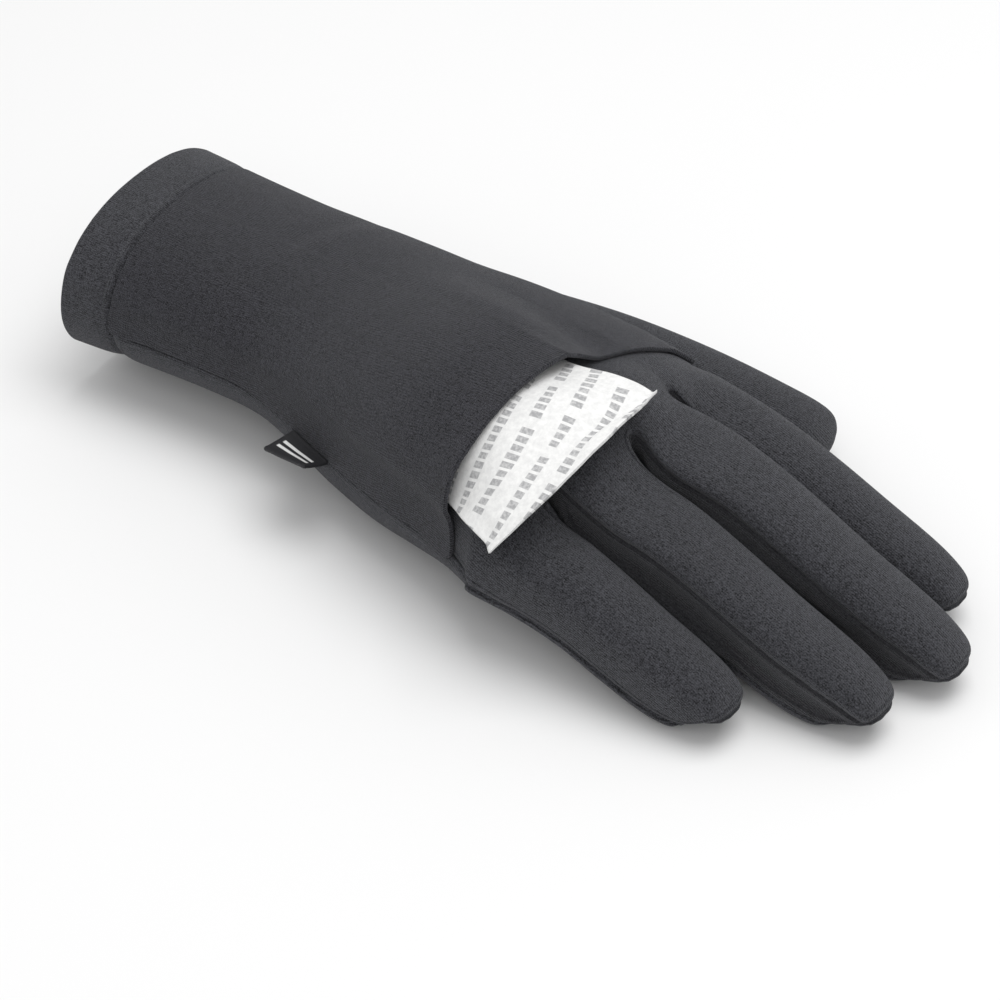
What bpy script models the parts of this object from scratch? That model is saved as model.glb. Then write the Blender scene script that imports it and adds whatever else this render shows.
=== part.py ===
"""A knitted glove liner for the right hand, with a warmer pouch in the pocket on its back.

It lies palm down, rounded as if a hand were in it. +Y runs from the cuff to the fingertips,
+X from the thumb to the little finger and +Z up. Sizes are in metres and angles in degrees.
The whole knit skin is one cage, pulled out ring by ring from the cuff. It is then parted along
its seams into the panels that the glove is sewn from, and each panel gets the cloth's thickness.
"""

import math
from collections import namedtuple

import bmesh
import bpy
from mathutils import Quaternion, Vector

# Driving sizes of the glove.
PALM_LENGTH = 0.102
CUFF_LENGTH = 0.058
HEM_DEPTH = 0.015
KNUCKLE_WIDTH = 0.091
BACK_HEIGHT = 0.053
CROTCH_WIDTH = 0.0030
ROOT_FADE = 3
FINGER_HEIGHT_SHARE = 1.0
FINGERTIP_HEIGHT = 0.0073
FINGERTIP_BULGE = 0.02

# The cloth, and what keeps the pieces apart.
KNIT = 0.0012
SEAM_GAP = 0.0003
CURVED_SEAM_GAP = 0.0021
LAYER_GAP = 0.0004
SHARPEST_CORNER = 0.4
CREASE_ANGLE = 45.0

# Where the seams lie round a finger: the corner of the back panel, above the middle of the side.
# The hand's outermost points are at SIDE_U, a little past the corners of its back at -1 and 1.
SEAM_ANGLE = 24.0
CORNER_SHARE = 0.93
SIDE_U = 1 / CORNER_SHARE

# The pocket on the back, from the cuff's hem to its own slanting edge. u runs across the back from
# -1 at the thumb's side, and along says how far up the palm the edge lies, as a share of it.
PocketEdge = namedtuple("PocketEdge", "u along")
POCKET_EDGE = [
    PocketEdge(-1.00, 0.915),
    PocketEdge(-0.30, 0.838),
    PocketEdge(0.45, 0.760),
    PocketEdge(0.75, 0.737),
    PocketEdge(1.08, 0.720),
]
POCKET_ROWS = 14
POCKET_FALL = 0.010
POCKET_SLOPE = 0.020
POCKET_FULL_U = 0.98
POCKET_START_U = -1.04

# The warmer pouch. Across is measured round the back from the middle column of the hand, along
# from the wrist, and back from the pouch's free end. The end slants across by POUCH_SLANT degrees.
POUCH_WIDTH = 0.050
POUCH_LENGTH = 0.070
POUCH_THICKNESS = 0.0046
POUCH_EDGE = 0.0010
POUCH_SEAL = 0.0055
POUCH_TAPER = 0.034
POUCH_END_ALONG = 0.0985
POUCH_SLANT = -12.0
POUCH_RISE = 0.0070
POUCH_RISE_LENGTH = 0.030
POUCH_RISE_CURVE = 1.5
POUCH_COLUMNS = 12
POUCH_ROWS = 14

# back is a share of the pouch's length, and left and right are its sides, as shares of its width.
PouchRow = namedtuple("PouchRow", "back left right")
POUCH_SIDES = [
    PouchRow(0.00, -0.06, 0.95),
    PouchRow(0.31, 0.00, 0.91),
    PouchRow(0.64, -0.10, 0.82),
    PouchRow(1.00, -0.18, 0.72),
]

# The folded woven tab in the side seam. Its two ends are told apart as near and far from the
# cuff: how far up the hand each is sewn in, and how far its fold stands out, back and up from there.
TAB_THICKNESS = 0.0010
TabEnd = namedtuple("TabEnd", "along out back up")
TAB_NEAR = TabEnd(0.0175, 0.0088, 0.0025, -0.0005)
TAB_FAR = TabEnd(0.0300, 0.0078, 0.0012, 0.0035)
TAB_CURL = 1.5
TAB_COLUMNS = 4
TAB_ROWS = 5

# One ring of the hand for each row. along is a share of the palm's length, or of the cuff's below
# zero. middle and half are shares of the knuckles' breadth, and the heights of the back's. The
# exponents say how square the arch is. valley is how far the gaps between the fingers have sunk,
# and tuck how far the palm is raised on the thumb's side, to make room for the thumb.
HandRow = namedtuple(
    "HandRow", "along middle half left right top bottom arch belly valley tuck"
)
HAND_ROWS = [
    HandRow(-1.00, -0.130, 0.375, 0.50, 0.46, 0.90, 0.09, 2.2, 2.2, 0.00, 0.00),
    HandRow(-0.74, -0.126, 0.364, 0.50, 0.46, 0.89, 0.10, 2.2, 2.2, 0.00, 0.00),
    HandRow(-0.48, -0.122, 0.354, 0.50, 0.46, 0.88, 0.11, 2.2, 2.2, 0.00, 0.00),
    HandRow(-0.24, -0.118, 0.348, 0.50, 0.46, 0.88, 0.11, 2.2, 2.2, 0.00, 0.00),
    HandRow(0.00, -0.113, 0.349, 0.50, 0.45, 0.89, 0.10, 2.2, 2.2, 0.00, 0.00),
    HandRow(0.12, -0.093, 0.363, 0.50, 0.43, 0.91, 0.05, 2.2, 2.2, 0.00, 0.00),
    HandRow(0.23, -0.066, 0.374, 0.50, 0.40, 0.93, -0.02, 2.3, 2.2, 0.00, 0.00),
    HandRow(0.34, -0.043, 0.387, 0.50, 0.38, 0.95, -0.05, 2.3, 2.2, 0.00, 0.00),
    HandRow(0.45, -0.025, 0.406, 0.50, 0.38, 0.97, -0.05, 2.3, 2.2, 0.00, 0.00),
    HandRow(0.56, -0.006, 0.416, 0.51, 0.38, 0.99, -0.02, 2.3, 2.2, 0.00, 0.04),
    HandRow(0.67, 0.013, 0.424, 0.52, 0.38, 1.00, 0.02, 2.3, 2.2, 0.00, 0.10),
    HandRow(0.78, 0.027, 0.438, 0.53, 0.38, 1.00, 0.07, 2.2, 2.2, 0.00, 0.10),
    HandRow(0.88, 0.039, 0.459, 0.52, 0.38, 0.97, 0.13, 2.1, 2.2, 0.15, 0.06),
    HandRow(0.95, 0.050, 0.474, 0.50, 0.38, 0.93, 0.18, 2.1, 2.2, 0.55, 0.02),
    HandRow(1.00, 0.063, 0.486, 0.48, 0.38, 0.89, 0.23, 2.1, 2.2, 1.00, 0.00),
]
THUMB_FIRST_ROW = 6
THUMB_LAST_ROW = 10

# left and right are where a finger's back panel starts and ends across the knuckles, from -1 at
# the thumb's side to 1. rise is how far its middle stands over the tip's where it leaves the hand.
Finger = namedtuple("Finger", "name left right length width splay rise")
FINGERS = [
    Finger("index", -1.00, -0.440, 0.0790, 0.0208, -3.0, 0.0200),
    Finger("middle", -0.440, 0.060, 0.0870, 0.0220, -1.7, 0.0240),
    Finger("ring", 0.060, 0.580, 0.0825, 0.0215, -3.0, 0.0205),
    Finger("little", 0.580, 1.00, 0.0625, 0.0205, -2.5, 0.0155),
]

# How far short of the middle finger's crotch the fingers start, across the knuckles at u.
Root = namedtuple("Root", "u share")
ROOTS = [Root(-1.0, 0.06), Root(-0.44, 0.015), Root(0.06, 0.0), Root(0.58, 0.10), Root(1.0, 0.19)]

# along is a share of the finger's length, girth of its width and height of its rise over the tip.
# nod is how far that ring leans forward over the tip, in degrees, and square how square it is: 2 is
# an ellipse.
FingerRow = namedtuple("FingerRow", "along girth height nod square")
FINGER_ROWS = [
    FingerRow(0.11, 1.01, 0.95, 0.0, 3.5),
    FingerRow(0.23, 1.00, 0.88, 0.0, 3.2),
    FingerRow(0.36, 1.00, 0.75, 0.0, 3.0),
    FingerRow(0.49, 1.01, 0.56, 0.0, 2.8),
    FingerRow(0.61, 1.00, 0.37, 0.0, 2.6),
    FingerRow(0.72, 0.98, 0.21, 0.0, 2.6),
    FingerRow(0.82, 0.92, 0.09, 5.0, 2.6),
    FingerRow(0.892, 0.83, 0.00, 20.0, 2.6),
    FingerRow(0.942, 0.64, -0.07, 42.0, 2.6),
]
TIP_SEAM_ROW = 8

# The thumb's rings: the place of the middle as shares of the knuckles' breadth, the palm's length
# and the back's height, and the thumb's heading, away from +Y towards the thumb's side.
THUMB_WIDTH = 0.0225
THUMB_DROP = 0.12
THUMB_SQUARENESS = 2.6
THUMB_BULGE = 0.12
ThumbRow = namedtuple("ThumbRow", "x y z heading girth height")
THUMB_ROWS = [
    ThumbRow(-0.502, 0.538, 0.281, 40.0, 1.18, 1.10),
    ThumbRow(-0.546, 0.665, 0.234, 22.0, 1.10, 1.04),
    ThumbRow(-0.565, 0.791, 0.213, 10.0, 1.03, 0.98),
    ThumbRow(-0.566, 0.920, 0.200, 5.0, 1.00, 0.94),
    ThumbRow(-0.560, 1.038, 0.193, 2.0, 0.96, 0.88),
    ThumbRow(-0.562, 1.125, 0.178, 0.0, 0.86, 0.80),
    ThumbRow(-0.565, 1.185, 0.168, 0.0, 0.60, 0.56),
]

BACK, PALM, THUMB, HEM = "back_panel", "palm_panel", "thumb", "cuff_hem"
FOURCHETTES = ["fourchette_index_middle", "fourchette_middle_ring", "fourchette_ring_little"]
PANELS = [BACK, PALM, THUMB, HEM] + FOURCHETTES

# The cage's columns over each finger, and how deep each sinks into the gaps beside it. GAP_HEIGHT is
# how deep a gap is as a share of the back's height, and PALM_GAP_SHARE how much of that the palm has.
COLUMNS_A_FINGER = 4
GAP_DEPTHS = [1.0, 0.30, 0.0, 0.30, 1.0]
GAP_HEIGHT = 0.075
PALM_GAP_SHARE = 0.8
TOP_COUNT = len(FINGERS) * (COLUMNS_A_FINGER + 1)
RING_COUNT = 2 * TOP_COUNT + 2

# Steps for measuring round the back, and the short stretch over which its slope is taken.
MEASURING_STEPS = 24
NEARBY = 0.02


def clear_scene():
    for thing in list(bpy.data.objects):
        bpy.data.objects.remove(thing)


def material(name, colour, roughness, metallic=0.0):
    made = bpy.data.materials.new(name)
    made.use_nodes = True
    shader = made.node_tree.nodes["Principled BSDF"]
    shader.inputs["Base Color"].default_value = (*colour, 1.0)
    shader.inputs["Roughness"].default_value = roughness
    shader.inputs["Metallic"].default_value = metallic
    return made


def add_object(name, bm, finish):
    mesh = bpy.data.meshes.new(name)
    bm.to_mesh(mesh)
    bm.free()
    mesh.materials.clear()
    mesh.materials.append(finish)
    mesh.shade_smooth()
    mesh.set_sharp_from_angle(angle=math.radians(CREASE_ANGLE))
    made = bpy.data.objects.new(name, mesh)
    bpy.context.scene.collection.objects.link(made)
    return made


def knuckle_columns():
    """Where the back's columns lie across the knuckles, and how deep each sits in a gap."""
    half_gap = CROTCH_WIDTH / (KNUCKLE_WIDTH * HAND_ROWS[-1].half * CORNER_SHARE) / 2
    columns = []
    for finger in FINGERS:
        left = finger.left + (half_gap if finger.left > -1 else 0)
        right = finger.right - (half_gap if finger.right < 1 else 0)
        for step in range(COLUMNS_A_FINGER + 1):
            share = step / COLUMNS_A_FINGER
            depth = GAP_DEPTHS[step]
            if finger.left == -1 and step < 2 or finger.right == 1 and step > 2:
                depth = 0.0
            columns.append((left + (right - left) * share, depth))
    return columns


COLUMNS = knuckle_columns()


def between(rows, at):
    """The values of a table's rows at a place between two of them; each row starts with its place."""
    at = min(max(at, rows[0][0]), rows[-1][0])
    for low, high in zip(rows, rows[1:]):
        if at <= high[0]:
            t = (at - low[0]) / (high[0] - low[0])
            return [a + (b - a) * t for a, b in zip(low, high)]
    return list(rows[-1])


def root_share(u):
    """How far short of the middle crotch the fingers start at u, as a share of the palm."""
    return between(ROOTS, u)[1]


def row_at(along):
    """The hand's row at any share of the palm, between the two rows of the table around it."""
    return HandRow(*between(HAND_ROWS, along))


def hand_point(u, along, depth=0.0, palm=False):
    """A point of the hand at u across it, on the back or on the palm, sunk where depth says."""
    row = row_at(along)
    x = (row.middle + row.half * CORNER_SHARE * u) * KNUCKLE_WIDTH
    y = along * (PALM_LENGTH if along > 0 else CUFF_LENGTH)
    y -= root_share(u) * PALM_LENGTH * max(0.0, along) ** ROOT_FADE
    side = row.left + (row.right - row.left) * (u + 1) / 2
    across = abs(CORNER_SHARE * u)
    sunk = GAP_HEIGHT * row.valley * depth
    if palm:
        belly = (1 - across**row.belly) ** (1 / row.belly)
        height = side + (row.bottom - side) * belly + row.tuck * min(u, 0.0) ** 2
        height = max(0.0, height + sunk * PALM_GAP_SHARE)
    else:
        crown = (1 - across**row.arch) ** (1 / row.arch)
        height = side + (row.top - side) * crown - sunk
    return Vector((x, y, height * BACK_HEIGHT))


def side_point(side, along):
    """The outermost point of the hand on one side: -1 is the thumb's and 1 the little finger's."""
    row = row_at(along)
    place = hand_point(side, along)
    place.x = (row.middle + row.half * side) * KNUCKLE_WIDTH
    place.z = (row.left if side < 0 else row.right) * BACK_HEIGHT
    return place


def hand_ring(along):
    """The points of one ring of the hand: a side, the back to the other side, and the palm."""
    back = [hand_point(u, along, depth) for u, depth in COLUMNS]
    palm = [hand_point(u, along, depth, palm=True) for u, depth in COLUMNS]
    return [side_point(-1, along)] + back + [side_point(1, along)] + palm[::-1]


def pull_ring(bm, ring, places, owners, closed=True):
    """Pulls a ring of vertices out into one more band of faces, and says which panel owns each."""
    ends = ring[1:] + ring[:1] if closed else ring[1:]
    edges = [bm.edges.get((a, b)) for a, b in zip(ring, ends)]
    made = bmesh.ops.extrude_edge_only(bm, edges=edges)["geom"]
    fresh = {v for v in made if isinstance(v, bmesh.types.BMVert)}
    follows = {}
    for vertex in ring:
        for edge in vertex.link_edges:
            if edge.other_vert(vertex) in fresh:
                follows[vertex] = edge.other_vert(vertex)
    pulled = [follows[v] for v in ring]
    for vertex, place in zip(pulled, places):
        vertex.co = place
    ends = pulled[1:] + pulled[:1] if closed else pulled[1:]
    for a, b, owner in zip(pulled, ends, owners):
        bm.edges.get((a, b)).link_faces[0].material_index = PANELS.index(owner)
    return pulled


def build_hand(bm):
    """The hand's tube, from the cuff to the crotches, as its rings of vertices."""
    start = bmesh.ops.create_circle(bm, segments=RING_COUNT, radius=KNUCKLE_WIDTH / 2)
    ring = start["verts"]
    for vertex, place in zip(ring, hand_ring(HAND_ROWS[0].along)):
        vertex.co = place
    rings = [ring]
    hem_row = -1.0 + HEM_DEPTH / CUFF_LENGTH
    owners = [BACK] * (TOP_COUNT + 1) + [PALM] * (TOP_COUNT + 1)
    for row in HAND_ROWS[1:]:
        along = hem_row if row is HAND_ROWS[1] else row.along
        whose = [HEM] * RING_COUNT if row is HAND_ROWS[1] else owners
        rings.append(pull_ring(bm, rings[-1], hand_ring(along), whose))
    return rings


def nodding(forward, degrees):
    """A heading turned down towards the floor by so many degrees."""
    across = Vector((forward.y, -forward.x, 0)).normalized()
    turned = forward.copy()
    turned.rotate(Quaternion(across, -math.radians(degrees)))
    return turned


def ring_points(middle, forward, half_width, half_height, square):
    """Twelve points round a finger: a side, the back's five, the other side and the palm's."""
    across = Vector((forward.y, -forward.x, 0)).normalized()
    up = across.cross(forward).normalized()
    angles = [180.0]
    span = 180 - 2 * SEAM_ANGLE
    angles += [180 - SEAM_ANGLE - span * k / COLUMNS_A_FINGER for k in range(COLUMNS_A_FINGER + 1)]
    angles += [0.0]
    angles += [-SEAM_ANGLE - span * k / COLUMNS_A_FINGER for k in range(COLUMNS_A_FINGER + 1)]
    points = []
    for angle in angles:
        c, s = math.cos(math.radians(angle)), math.sin(math.radians(angle))
        c = math.copysign(abs(c) ** (2 / square), c)
        s = math.copysign(abs(s) ** (2 / square), s)
        place = middle + across * (half_width * c) + up * (half_height * s)
        place.z = max(0.0, place.z)
        points.append(place)
    return points


def close_tip(bm, ring, reach, owner):
    """Closes a finger's last ring with a fan of faces round one point ahead of it."""
    edges = [bm.edges.get(pair) for pair in zip(ring, ring[1:] + ring[:1])]
    face = bmesh.ops.contextual_create(bm, geom=edges)["faces"][0]
    face.material_index = PANELS.index(owner)
    point = bmesh.ops.poke(bm, faces=[face])["verts"][0]
    point.co += reach
    point.co.z = max(0.0, point.co.z)


def finger_owners(number, seam_passed):
    """Which panel each of a finger's twelve faces belongs to, round from its thumb side."""
    if seam_passed:
        return [PALM] * 12
    upper_left = lower_left = FOURCHETTES[number - 1] if number > 0 else None
    upper_right = lower_right = FOURCHETTES[number] if number < 3 else None
    if number == 0:
        upper_left, lower_left = BACK, PALM
    if number == 3:
        upper_right, lower_right = BACK, PALM
    return [upper_left] + [BACK] * 4 + [upper_right, lower_right] + [PALM] * 4 + [lower_left]


def build_finger(bm, number, root):
    finger = FINGERS[number]
    start = sum((v.co for v in root), Vector()) / len(root)
    heading = math.radians(finger.splay)
    level = Vector((-math.sin(heading), math.cos(heading), 0))
    reach = math.sqrt(finger.length**2 - finger.rise**2)
    middles = [start]
    for row in FINGER_ROWS:
        place = start + level * (reach * row.along)
        place.z = FINGERTIP_HEIGHT + finger.rise * row.height
        middles.append(place)
    ring = root
    for count, row in enumerate(FINGER_ROWS):
        behind = middles[count]
        ahead = middles[min(count + 2, len(middles) - 1)]
        forward = nodding((ahead - behind).normalized(), row.nod)
        half = finger.width * row.girth / 2
        high = half * FINGER_HEIGHT_SHARE
        points = ring_points(middles[count + 1], forward, half, high, row.square)
        ring = pull_ring(bm, ring, points, finger_owners(number, count > TIP_SEAM_ROW))
    close_tip(bm, ring, forward * finger.length * FINGERTIP_BULGE, PALM)


def build_thumb(bm, root):
    ring = root
    for row in THUMB_ROWS:
        middle = Vector((row.x * KNUCKLE_WIDTH, row.y * PALM_LENGTH, row.z * BACK_HEIGHT))
        heading = math.radians(row.heading)
        forward = Vector((-math.sin(heading), math.cos(heading), -THUMB_DROP)).normalized()
        width, height = THUMB_WIDTH * row.girth / 2, THUMB_WIDTH * row.height / 2
        points = ring_points(middle, forward, width, height, THUMB_SQUARENESS)
        ring = pull_ring(bm, ring, points, [THUMB] * 12)
    close_tip(bm, ring, forward * THUMB_WIDTH * THUMB_BULGE, THUMB)


def finger_root(bm, number, hand, crotches):
    """The ring of vertices that a finger grows from, closed across the crotches beside it."""
    first = 1 + number * (COLUMNS_A_FINGER + 1)
    top = hand[first : first + COLUMNS_A_FINGER + 1]
    low_first = RING_COUNT - first - COLUMNS_A_FINGER
    low = hand[low_first : low_first + COLUMNS_A_FINGER + 1]
    left = hand[0] if number == 0 else crotches[number - 1][1]
    right = hand[TOP_COUNT + 1] if number == 3 else crotches[number][0]
    return [left] + top + [right] + low


def build_crotch(bm, number, hand):
    """The upright fold of a fourchette between two fingers: its two middle vertices."""
    left_top = hand[(number + 1) * (COLUMNS_A_FINGER + 1)]
    right_top = hand[(number + 1) * (COLUMNS_A_FINGER + 1) + 1]
    left_low = hand[RING_COUNT - (number + 1) * (COLUMNS_A_FINGER + 1)]
    right_low = hand[RING_COUNT - (number + 1) * (COLUMNS_A_FINGER + 1) - 1]
    middles = [(left_top.co + left_low.co) / 2, (right_top.co + right_low.co) / 2]
    owner = FOURCHETTES[number]
    pair = pull_ring(bm, [left_top, right_top], middles, [owner], closed=False)
    face = bm.faces.new([pair[0], pair[1], right_low, left_low])
    face.material_index = PANELS.index(owner)
    return pair


def open_thumb_hole(bm, rings):
    """Takes the thumb's side faces out of the hand and gives the ring round the hole."""
    rows = range(THUMB_FIRST_ROW, THUMB_LAST_ROW)
    doomed = []
    for row in rows:
        for low, high in ((0, 1), (RING_COUNT - 1, 0)):
            corners = {rings[row][low], rings[row][high], rings[row + 1][low], rings[row + 1][high]}
            doomed += [f for f in rings[row][low].link_faces if set(f.verts) == corners]
    bmesh.ops.delete(bm, geom=doomed, context="FACES_ONLY")
    stray = [e for e in bm.edges if not e.link_faces]
    bmesh.ops.delete(bm, geom=stray, context="EDGES")
    back = [rings[r][1] for r in range(THUMB_FIRST_ROW, THUMB_LAST_ROW + 1)]
    palm = [rings[r][-1] for r in range(THUMB_LAST_ROW, THUMB_FIRST_ROW - 1, -1)]
    return [rings[THUMB_FIRST_ROW][0]] + back + [rings[THUMB_LAST_ROW][0]] + palm


def build_skin():
    """The whole outside of the knit, as one open surface with a panel number on each face."""
    bm = bmesh.new()
    rings = build_hand(bm)
    hand = rings[-1]
    crotches = [build_crotch(bm, number, hand) for number in range(3)]
    for number in range(4):
        build_finger(bm, number, finger_root(bm, number, hand, crotches))
    build_thumb(bm, open_thumb_hole(bm, rings))
    loose = [v for v in bm.verts if not v.link_faces]
    bmesh.ops.delete(bm, geom=loose, context="VERTS")
    bmesh.ops.recalc_face_normals(bm, faces=bm.faces)
    return bm


def thicken(bm, inner, gap=SEAM_GAP):
    """Draws a sheet back from its border, and closes it with the inside its vertices point to."""
    shifts = {}
    for edge in bm.edges:
        if edge.is_boundary:
            face = edge.link_faces[0]
            middle = (edge.verts[0].co + edge.verts[1].co) / 2
            along = (edge.verts[1].co - edge.verts[0].co).normalized()
            inward = face.calc_center_median() - middle
            inward -= along * inward.dot(along)
            for vertex in edge.verts:
                shifts.setdefault(vertex, []).append(inward.normalized())
    for vertex, inwards in shifts.items():
        shift = sum(inwards, Vector()).normalized()
        shift *= gap / 2 / max(SHARPEST_CORNER, shift.dot(inwards[0]))
        vertex.co += shift
        vertex[inner] = vertex[inner] + shift
    made = bmesh.ops.extrude_face_region(bm, geom=bm.faces[:], use_keep_orig=True)
    for vertex in made["geom"]:
        if isinstance(vertex, bmesh.types.BMVert):
            vertex.co = vertex[inner]
    bmesh.ops.recalc_face_normals(bm, faces=bm.faces)


def seam_normal(vertex):
    """The way out at a vertex, with each panel that meets there counted once."""
    sides = {}
    for loop in vertex.link_loops:
        number = loop.face.material_index
        sides[number] = sides.get(number, Vector()) + loop.face.normal * loop.calc_angle()
    return sum((side.normalized() for side in sides.values()), Vector()).normalized()


def panel_solid(skin, name, thickness, finish):
    """One panel of the skin, drawn back from its seams and given the cloth's thickness."""
    bm = skin.copy()
    inner = bm.verts.layers.float_vector.new("inner")
    bm.normal_update()
    outwards = {vertex: seam_normal(vertex) for vertex in bm.verts}
    for vertex, out in outwards.items():
        under = recess(vertex.co) if name == BACK else 0.0
        vertex[inner] = vertex.co - out * (thickness + under)
        vertex.co -= out * under
    number = PANELS.index(name)
    others = [f for f in bm.faces if f.material_index != number]
    bmesh.ops.delete(bm, geom=others, context="FACES")
    thicken(bm, inner, CURVED_SEAM_GAP if name in FOURCHETTES + [THUMB] else SEAM_GAP)
    return add_object(name, bm, finish)


def grid(columns, rows):
    """A flat grid of faces, the layer for its inside, and its vertices row by row."""
    bm = bmesh.new()
    inner = bm.verts.layers.float_vector.new("inner")
    made = bmesh.ops.create_grid(bm, x_segments=columns, y_segments=rows, size=1.0)["verts"]
    ordered = sorted(made, key=lambda v: (round(v.co.y, 4), round(v.co.x, 4)))
    row_size = columns + 1
    return bm, inner, [ordered[r * row_size : (r + 1) * row_size] for r in range(rows + 1)]


def pocket_edge(u):
    """How far up the hand the pocket's edge lies at u."""
    return between(POCKET_EDGE, u)[1] * PALM_LENGTH


def smooth(t):
    t = min(max(t, 0.0), 1.0)
    return t * t * (3 - 2 * t)


def share_at(u, along):
    """The share of the palm's length at which the column at u is that far up the hand."""
    share = along / PALM_LENGTH
    for _ in range(6):
        share = along / PALM_LENGTH + root_share(u) * max(0.0, share) ** ROOT_FADE
    return share if along > 0 else along / CUFF_LENGTH


def round_back(u, along):
    """How far round the back the column at u lies from the middle one, that far up the hand."""
    columns = [u * k / MEASURING_STEPS for k in range(MEASURING_STEPS + 1)]
    places = [hand_point(column, share_at(column, along)) for column in columns]
    return math.copysign(sum((b - a).length for a, b in zip(places, places[1:])), u)


def back_at(across, along):
    """The point of the back that far round it and that far up the hand, and the way out there."""
    low, high = -SIDE_U, SIDE_U
    for _ in range(MEASURING_STEPS):
        u = (low + high) / 2
        if round_back(u, along) < across:
            low = u
        else:
            high = u
    share = share_at(u, along)
    left, right = max(u - NEARBY, -SIDE_U), min(u + NEARBY, SIDE_U)
    sideways = hand_point(right, share) - hand_point(left, share)
    ahead = hand_point(u, share + NEARBY) - hand_point(u, share - NEARBY)
    return hand_point(u, share), sideways.cross(ahead).normalized()


def recess(place):
    """How far the back panel lies under the pocket there, fading out beyond the pocket's edge."""
    row = row_at(place.y / (PALM_LENGTH if place.y > 0 else CUFF_LENGTH))
    u = (place.x / KNUCKLE_WIDTH - row.middle) / (row.half * CORNER_SHARE)
    if u < POCKET_START_U:
        return 0.0
    beyond = place.y - pocket_edge(u)
    return (KNIT + LAYER_GAP) * (1 - smooth(beyond / POCKET_FALL))


def pouch_sides(back):
    """How far round the back the pouch's two sides lie, that far from its free end."""
    _, left, right = between(POUCH_SIDES, back / POUCH_LENGTH)
    return left * POUCH_WIDTH, right * POUCH_WIDTH


def pouch_slant(across):
    """How much further along the slanting end of the pouch is there than in its middle."""
    middle = sum(pouch_sides(0)) / 2
    return (across - middle) * math.tan(math.radians(POUCH_SLANT))


def in_pouch(across, along):
    """How far inside the pouch's nearer side a place on the back lies, and how far from its end."""
    back = POUCH_END_ALONG + pouch_slant(across) - along
    left, right = pouch_sides(back)
    return min(across - left, right - across), back


def pouch_rise(back):
    """How far the pouch stands off the hand, which grows towards its free end."""
    return POUCH_RISE * max(0.0, 1 - max(0.0, back) / POUCH_RISE_LENGTH) ** POUCH_RISE_CURVE


def pocket_lift(u, along):
    """How far the pouch pushes the pocket out there, over where it would lie flat."""
    aside, back = in_pouch(round_back(u, along), along)
    reach = POUCH_SEAL + POCKET_FALL
    held = smooth((aside + POCKET_FALL) / reach)
    run = POCKET_SLOPE + POUCH_TAPER
    held *= smooth((POUCH_LENGTH - back + POCKET_SLOPE) / run)
    held *= smooth((SIDE_U - abs(u)) / (SIDE_U - POCKET_FULL_U))
    return held * (POUCH_THICKNESS + 2 * LAYER_GAP + pouch_rise(back))


def build_pocket(finish):
    """The second layer of knit over the back, which the pouch pushes out."""
    columns = [u for u, _ in COLUMNS] + [(1 + SIDE_U) / 2, SIDE_U]
    bm, inner, rows = grid(len(columns) - 1, POCKET_ROWS)
    start = HEM_DEPTH - CUFF_LENGTH
    lifts = {}
    for number, row in enumerate(rows):
        for u, vertex in zip(columns, row):
            along = start + (pocket_edge(u) - start) * number / POCKET_ROWS
            vertex.co = hand_point(u, share_at(u, along))
            lifts[vertex] = pocket_lift(u, along)
    bm.normal_update()
    for vertex, lift in lifts.items():
        vertex.co += vertex.normal * lift
    bm.normal_update()
    for row in rows:
        for vertex in row:
            out = vertex.normal.copy()
            if vertex is row[-1]:
                out.z = 0.0
            vertex[inner] = vertex.co - out.normalized() * KNIT
    thicken(bm, inner, CURVED_SEAM_GAP)
    return add_object("pocket_panel", bm, finish)


def seal_steps(count, length):
    """A row of places along one side, from -0.5 to 0.5, with one in the middle of each seal."""
    seal = POUCH_SEAL / length
    middle = [-0.5 + seal + (1 - 2 * seal) * k / (count - 4) for k in range(count - 3)]
    return [-0.5, -0.5 + seal / 2] + middle + [0.5 - seal / 2, 0.5]


def build_pouch(finish):
    """The flat sealed pouch of warming grains: thick in the middle and thin at its sealed edges."""
    bm, inner, rows = grid(POUCH_COLUMNS, POUCH_ROWS)
    for lengthwise, row in zip(seal_steps(POUCH_ROWS, POUCH_LENGTH), rows):
        for sidewise, vertex in zip(seal_steps(POUCH_COLUMNS, POUCH_WIDTH), row):
            back = POUCH_LENGTH * (0.5 - lengthwise)
            left, right = pouch_sides(back)
            across = (left + right) / 2 + (right - left) * sidewise
            along = POUCH_END_ALONG + pouch_slant(across) - back
            place, out = back_at(across, along)
            low = LAYER_GAP - recess(place) + pouch_rise(back)
            edge = min(across - left, right - across, back, POUCH_LENGTH - back)
            full = smooth(edge / POUCH_SEAL) * smooth((POUCH_LENGTH - back) / POUCH_TAPER)
            thick = POUCH_EDGE + (POUCH_THICKNESS - POUCH_EDGE) * full
            vertex[inner] = place + out * low
            vertex.co = place + out * (low + thick)
    thicken(bm, inner)
    return add_object("warmer_packet", bm, finish)


def build_tab(finish):
    """The woven tab, folded double, that stands out of the side seam."""
    bm, inner, rows = grid(TAB_COLUMNS, TAB_ROWS)
    for number, row in enumerate(rows):
        out = number / TAB_ROWS
        for place, vertex in enumerate(row):
            share = place / TAB_COLUMNS
            end = TabEnd(*(a + (b - a) * share for a, b in zip(TAB_NEAR, TAB_FAR)))
            seam = side_point(1, share_at(1, end.along))
            shift = Vector((end.out * out, -end.back * out, end.up * out**TAB_CURL))
            vertex.co = seam + Vector((SEAM_GAP, 0, TAB_THICKNESS / 2)) + shift
            vertex[inner] = vertex.co - Vector((0, 0, TAB_THICKNESS))
    thicken(bm, inner)
    return add_object("side_label", bm, finish)


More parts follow.
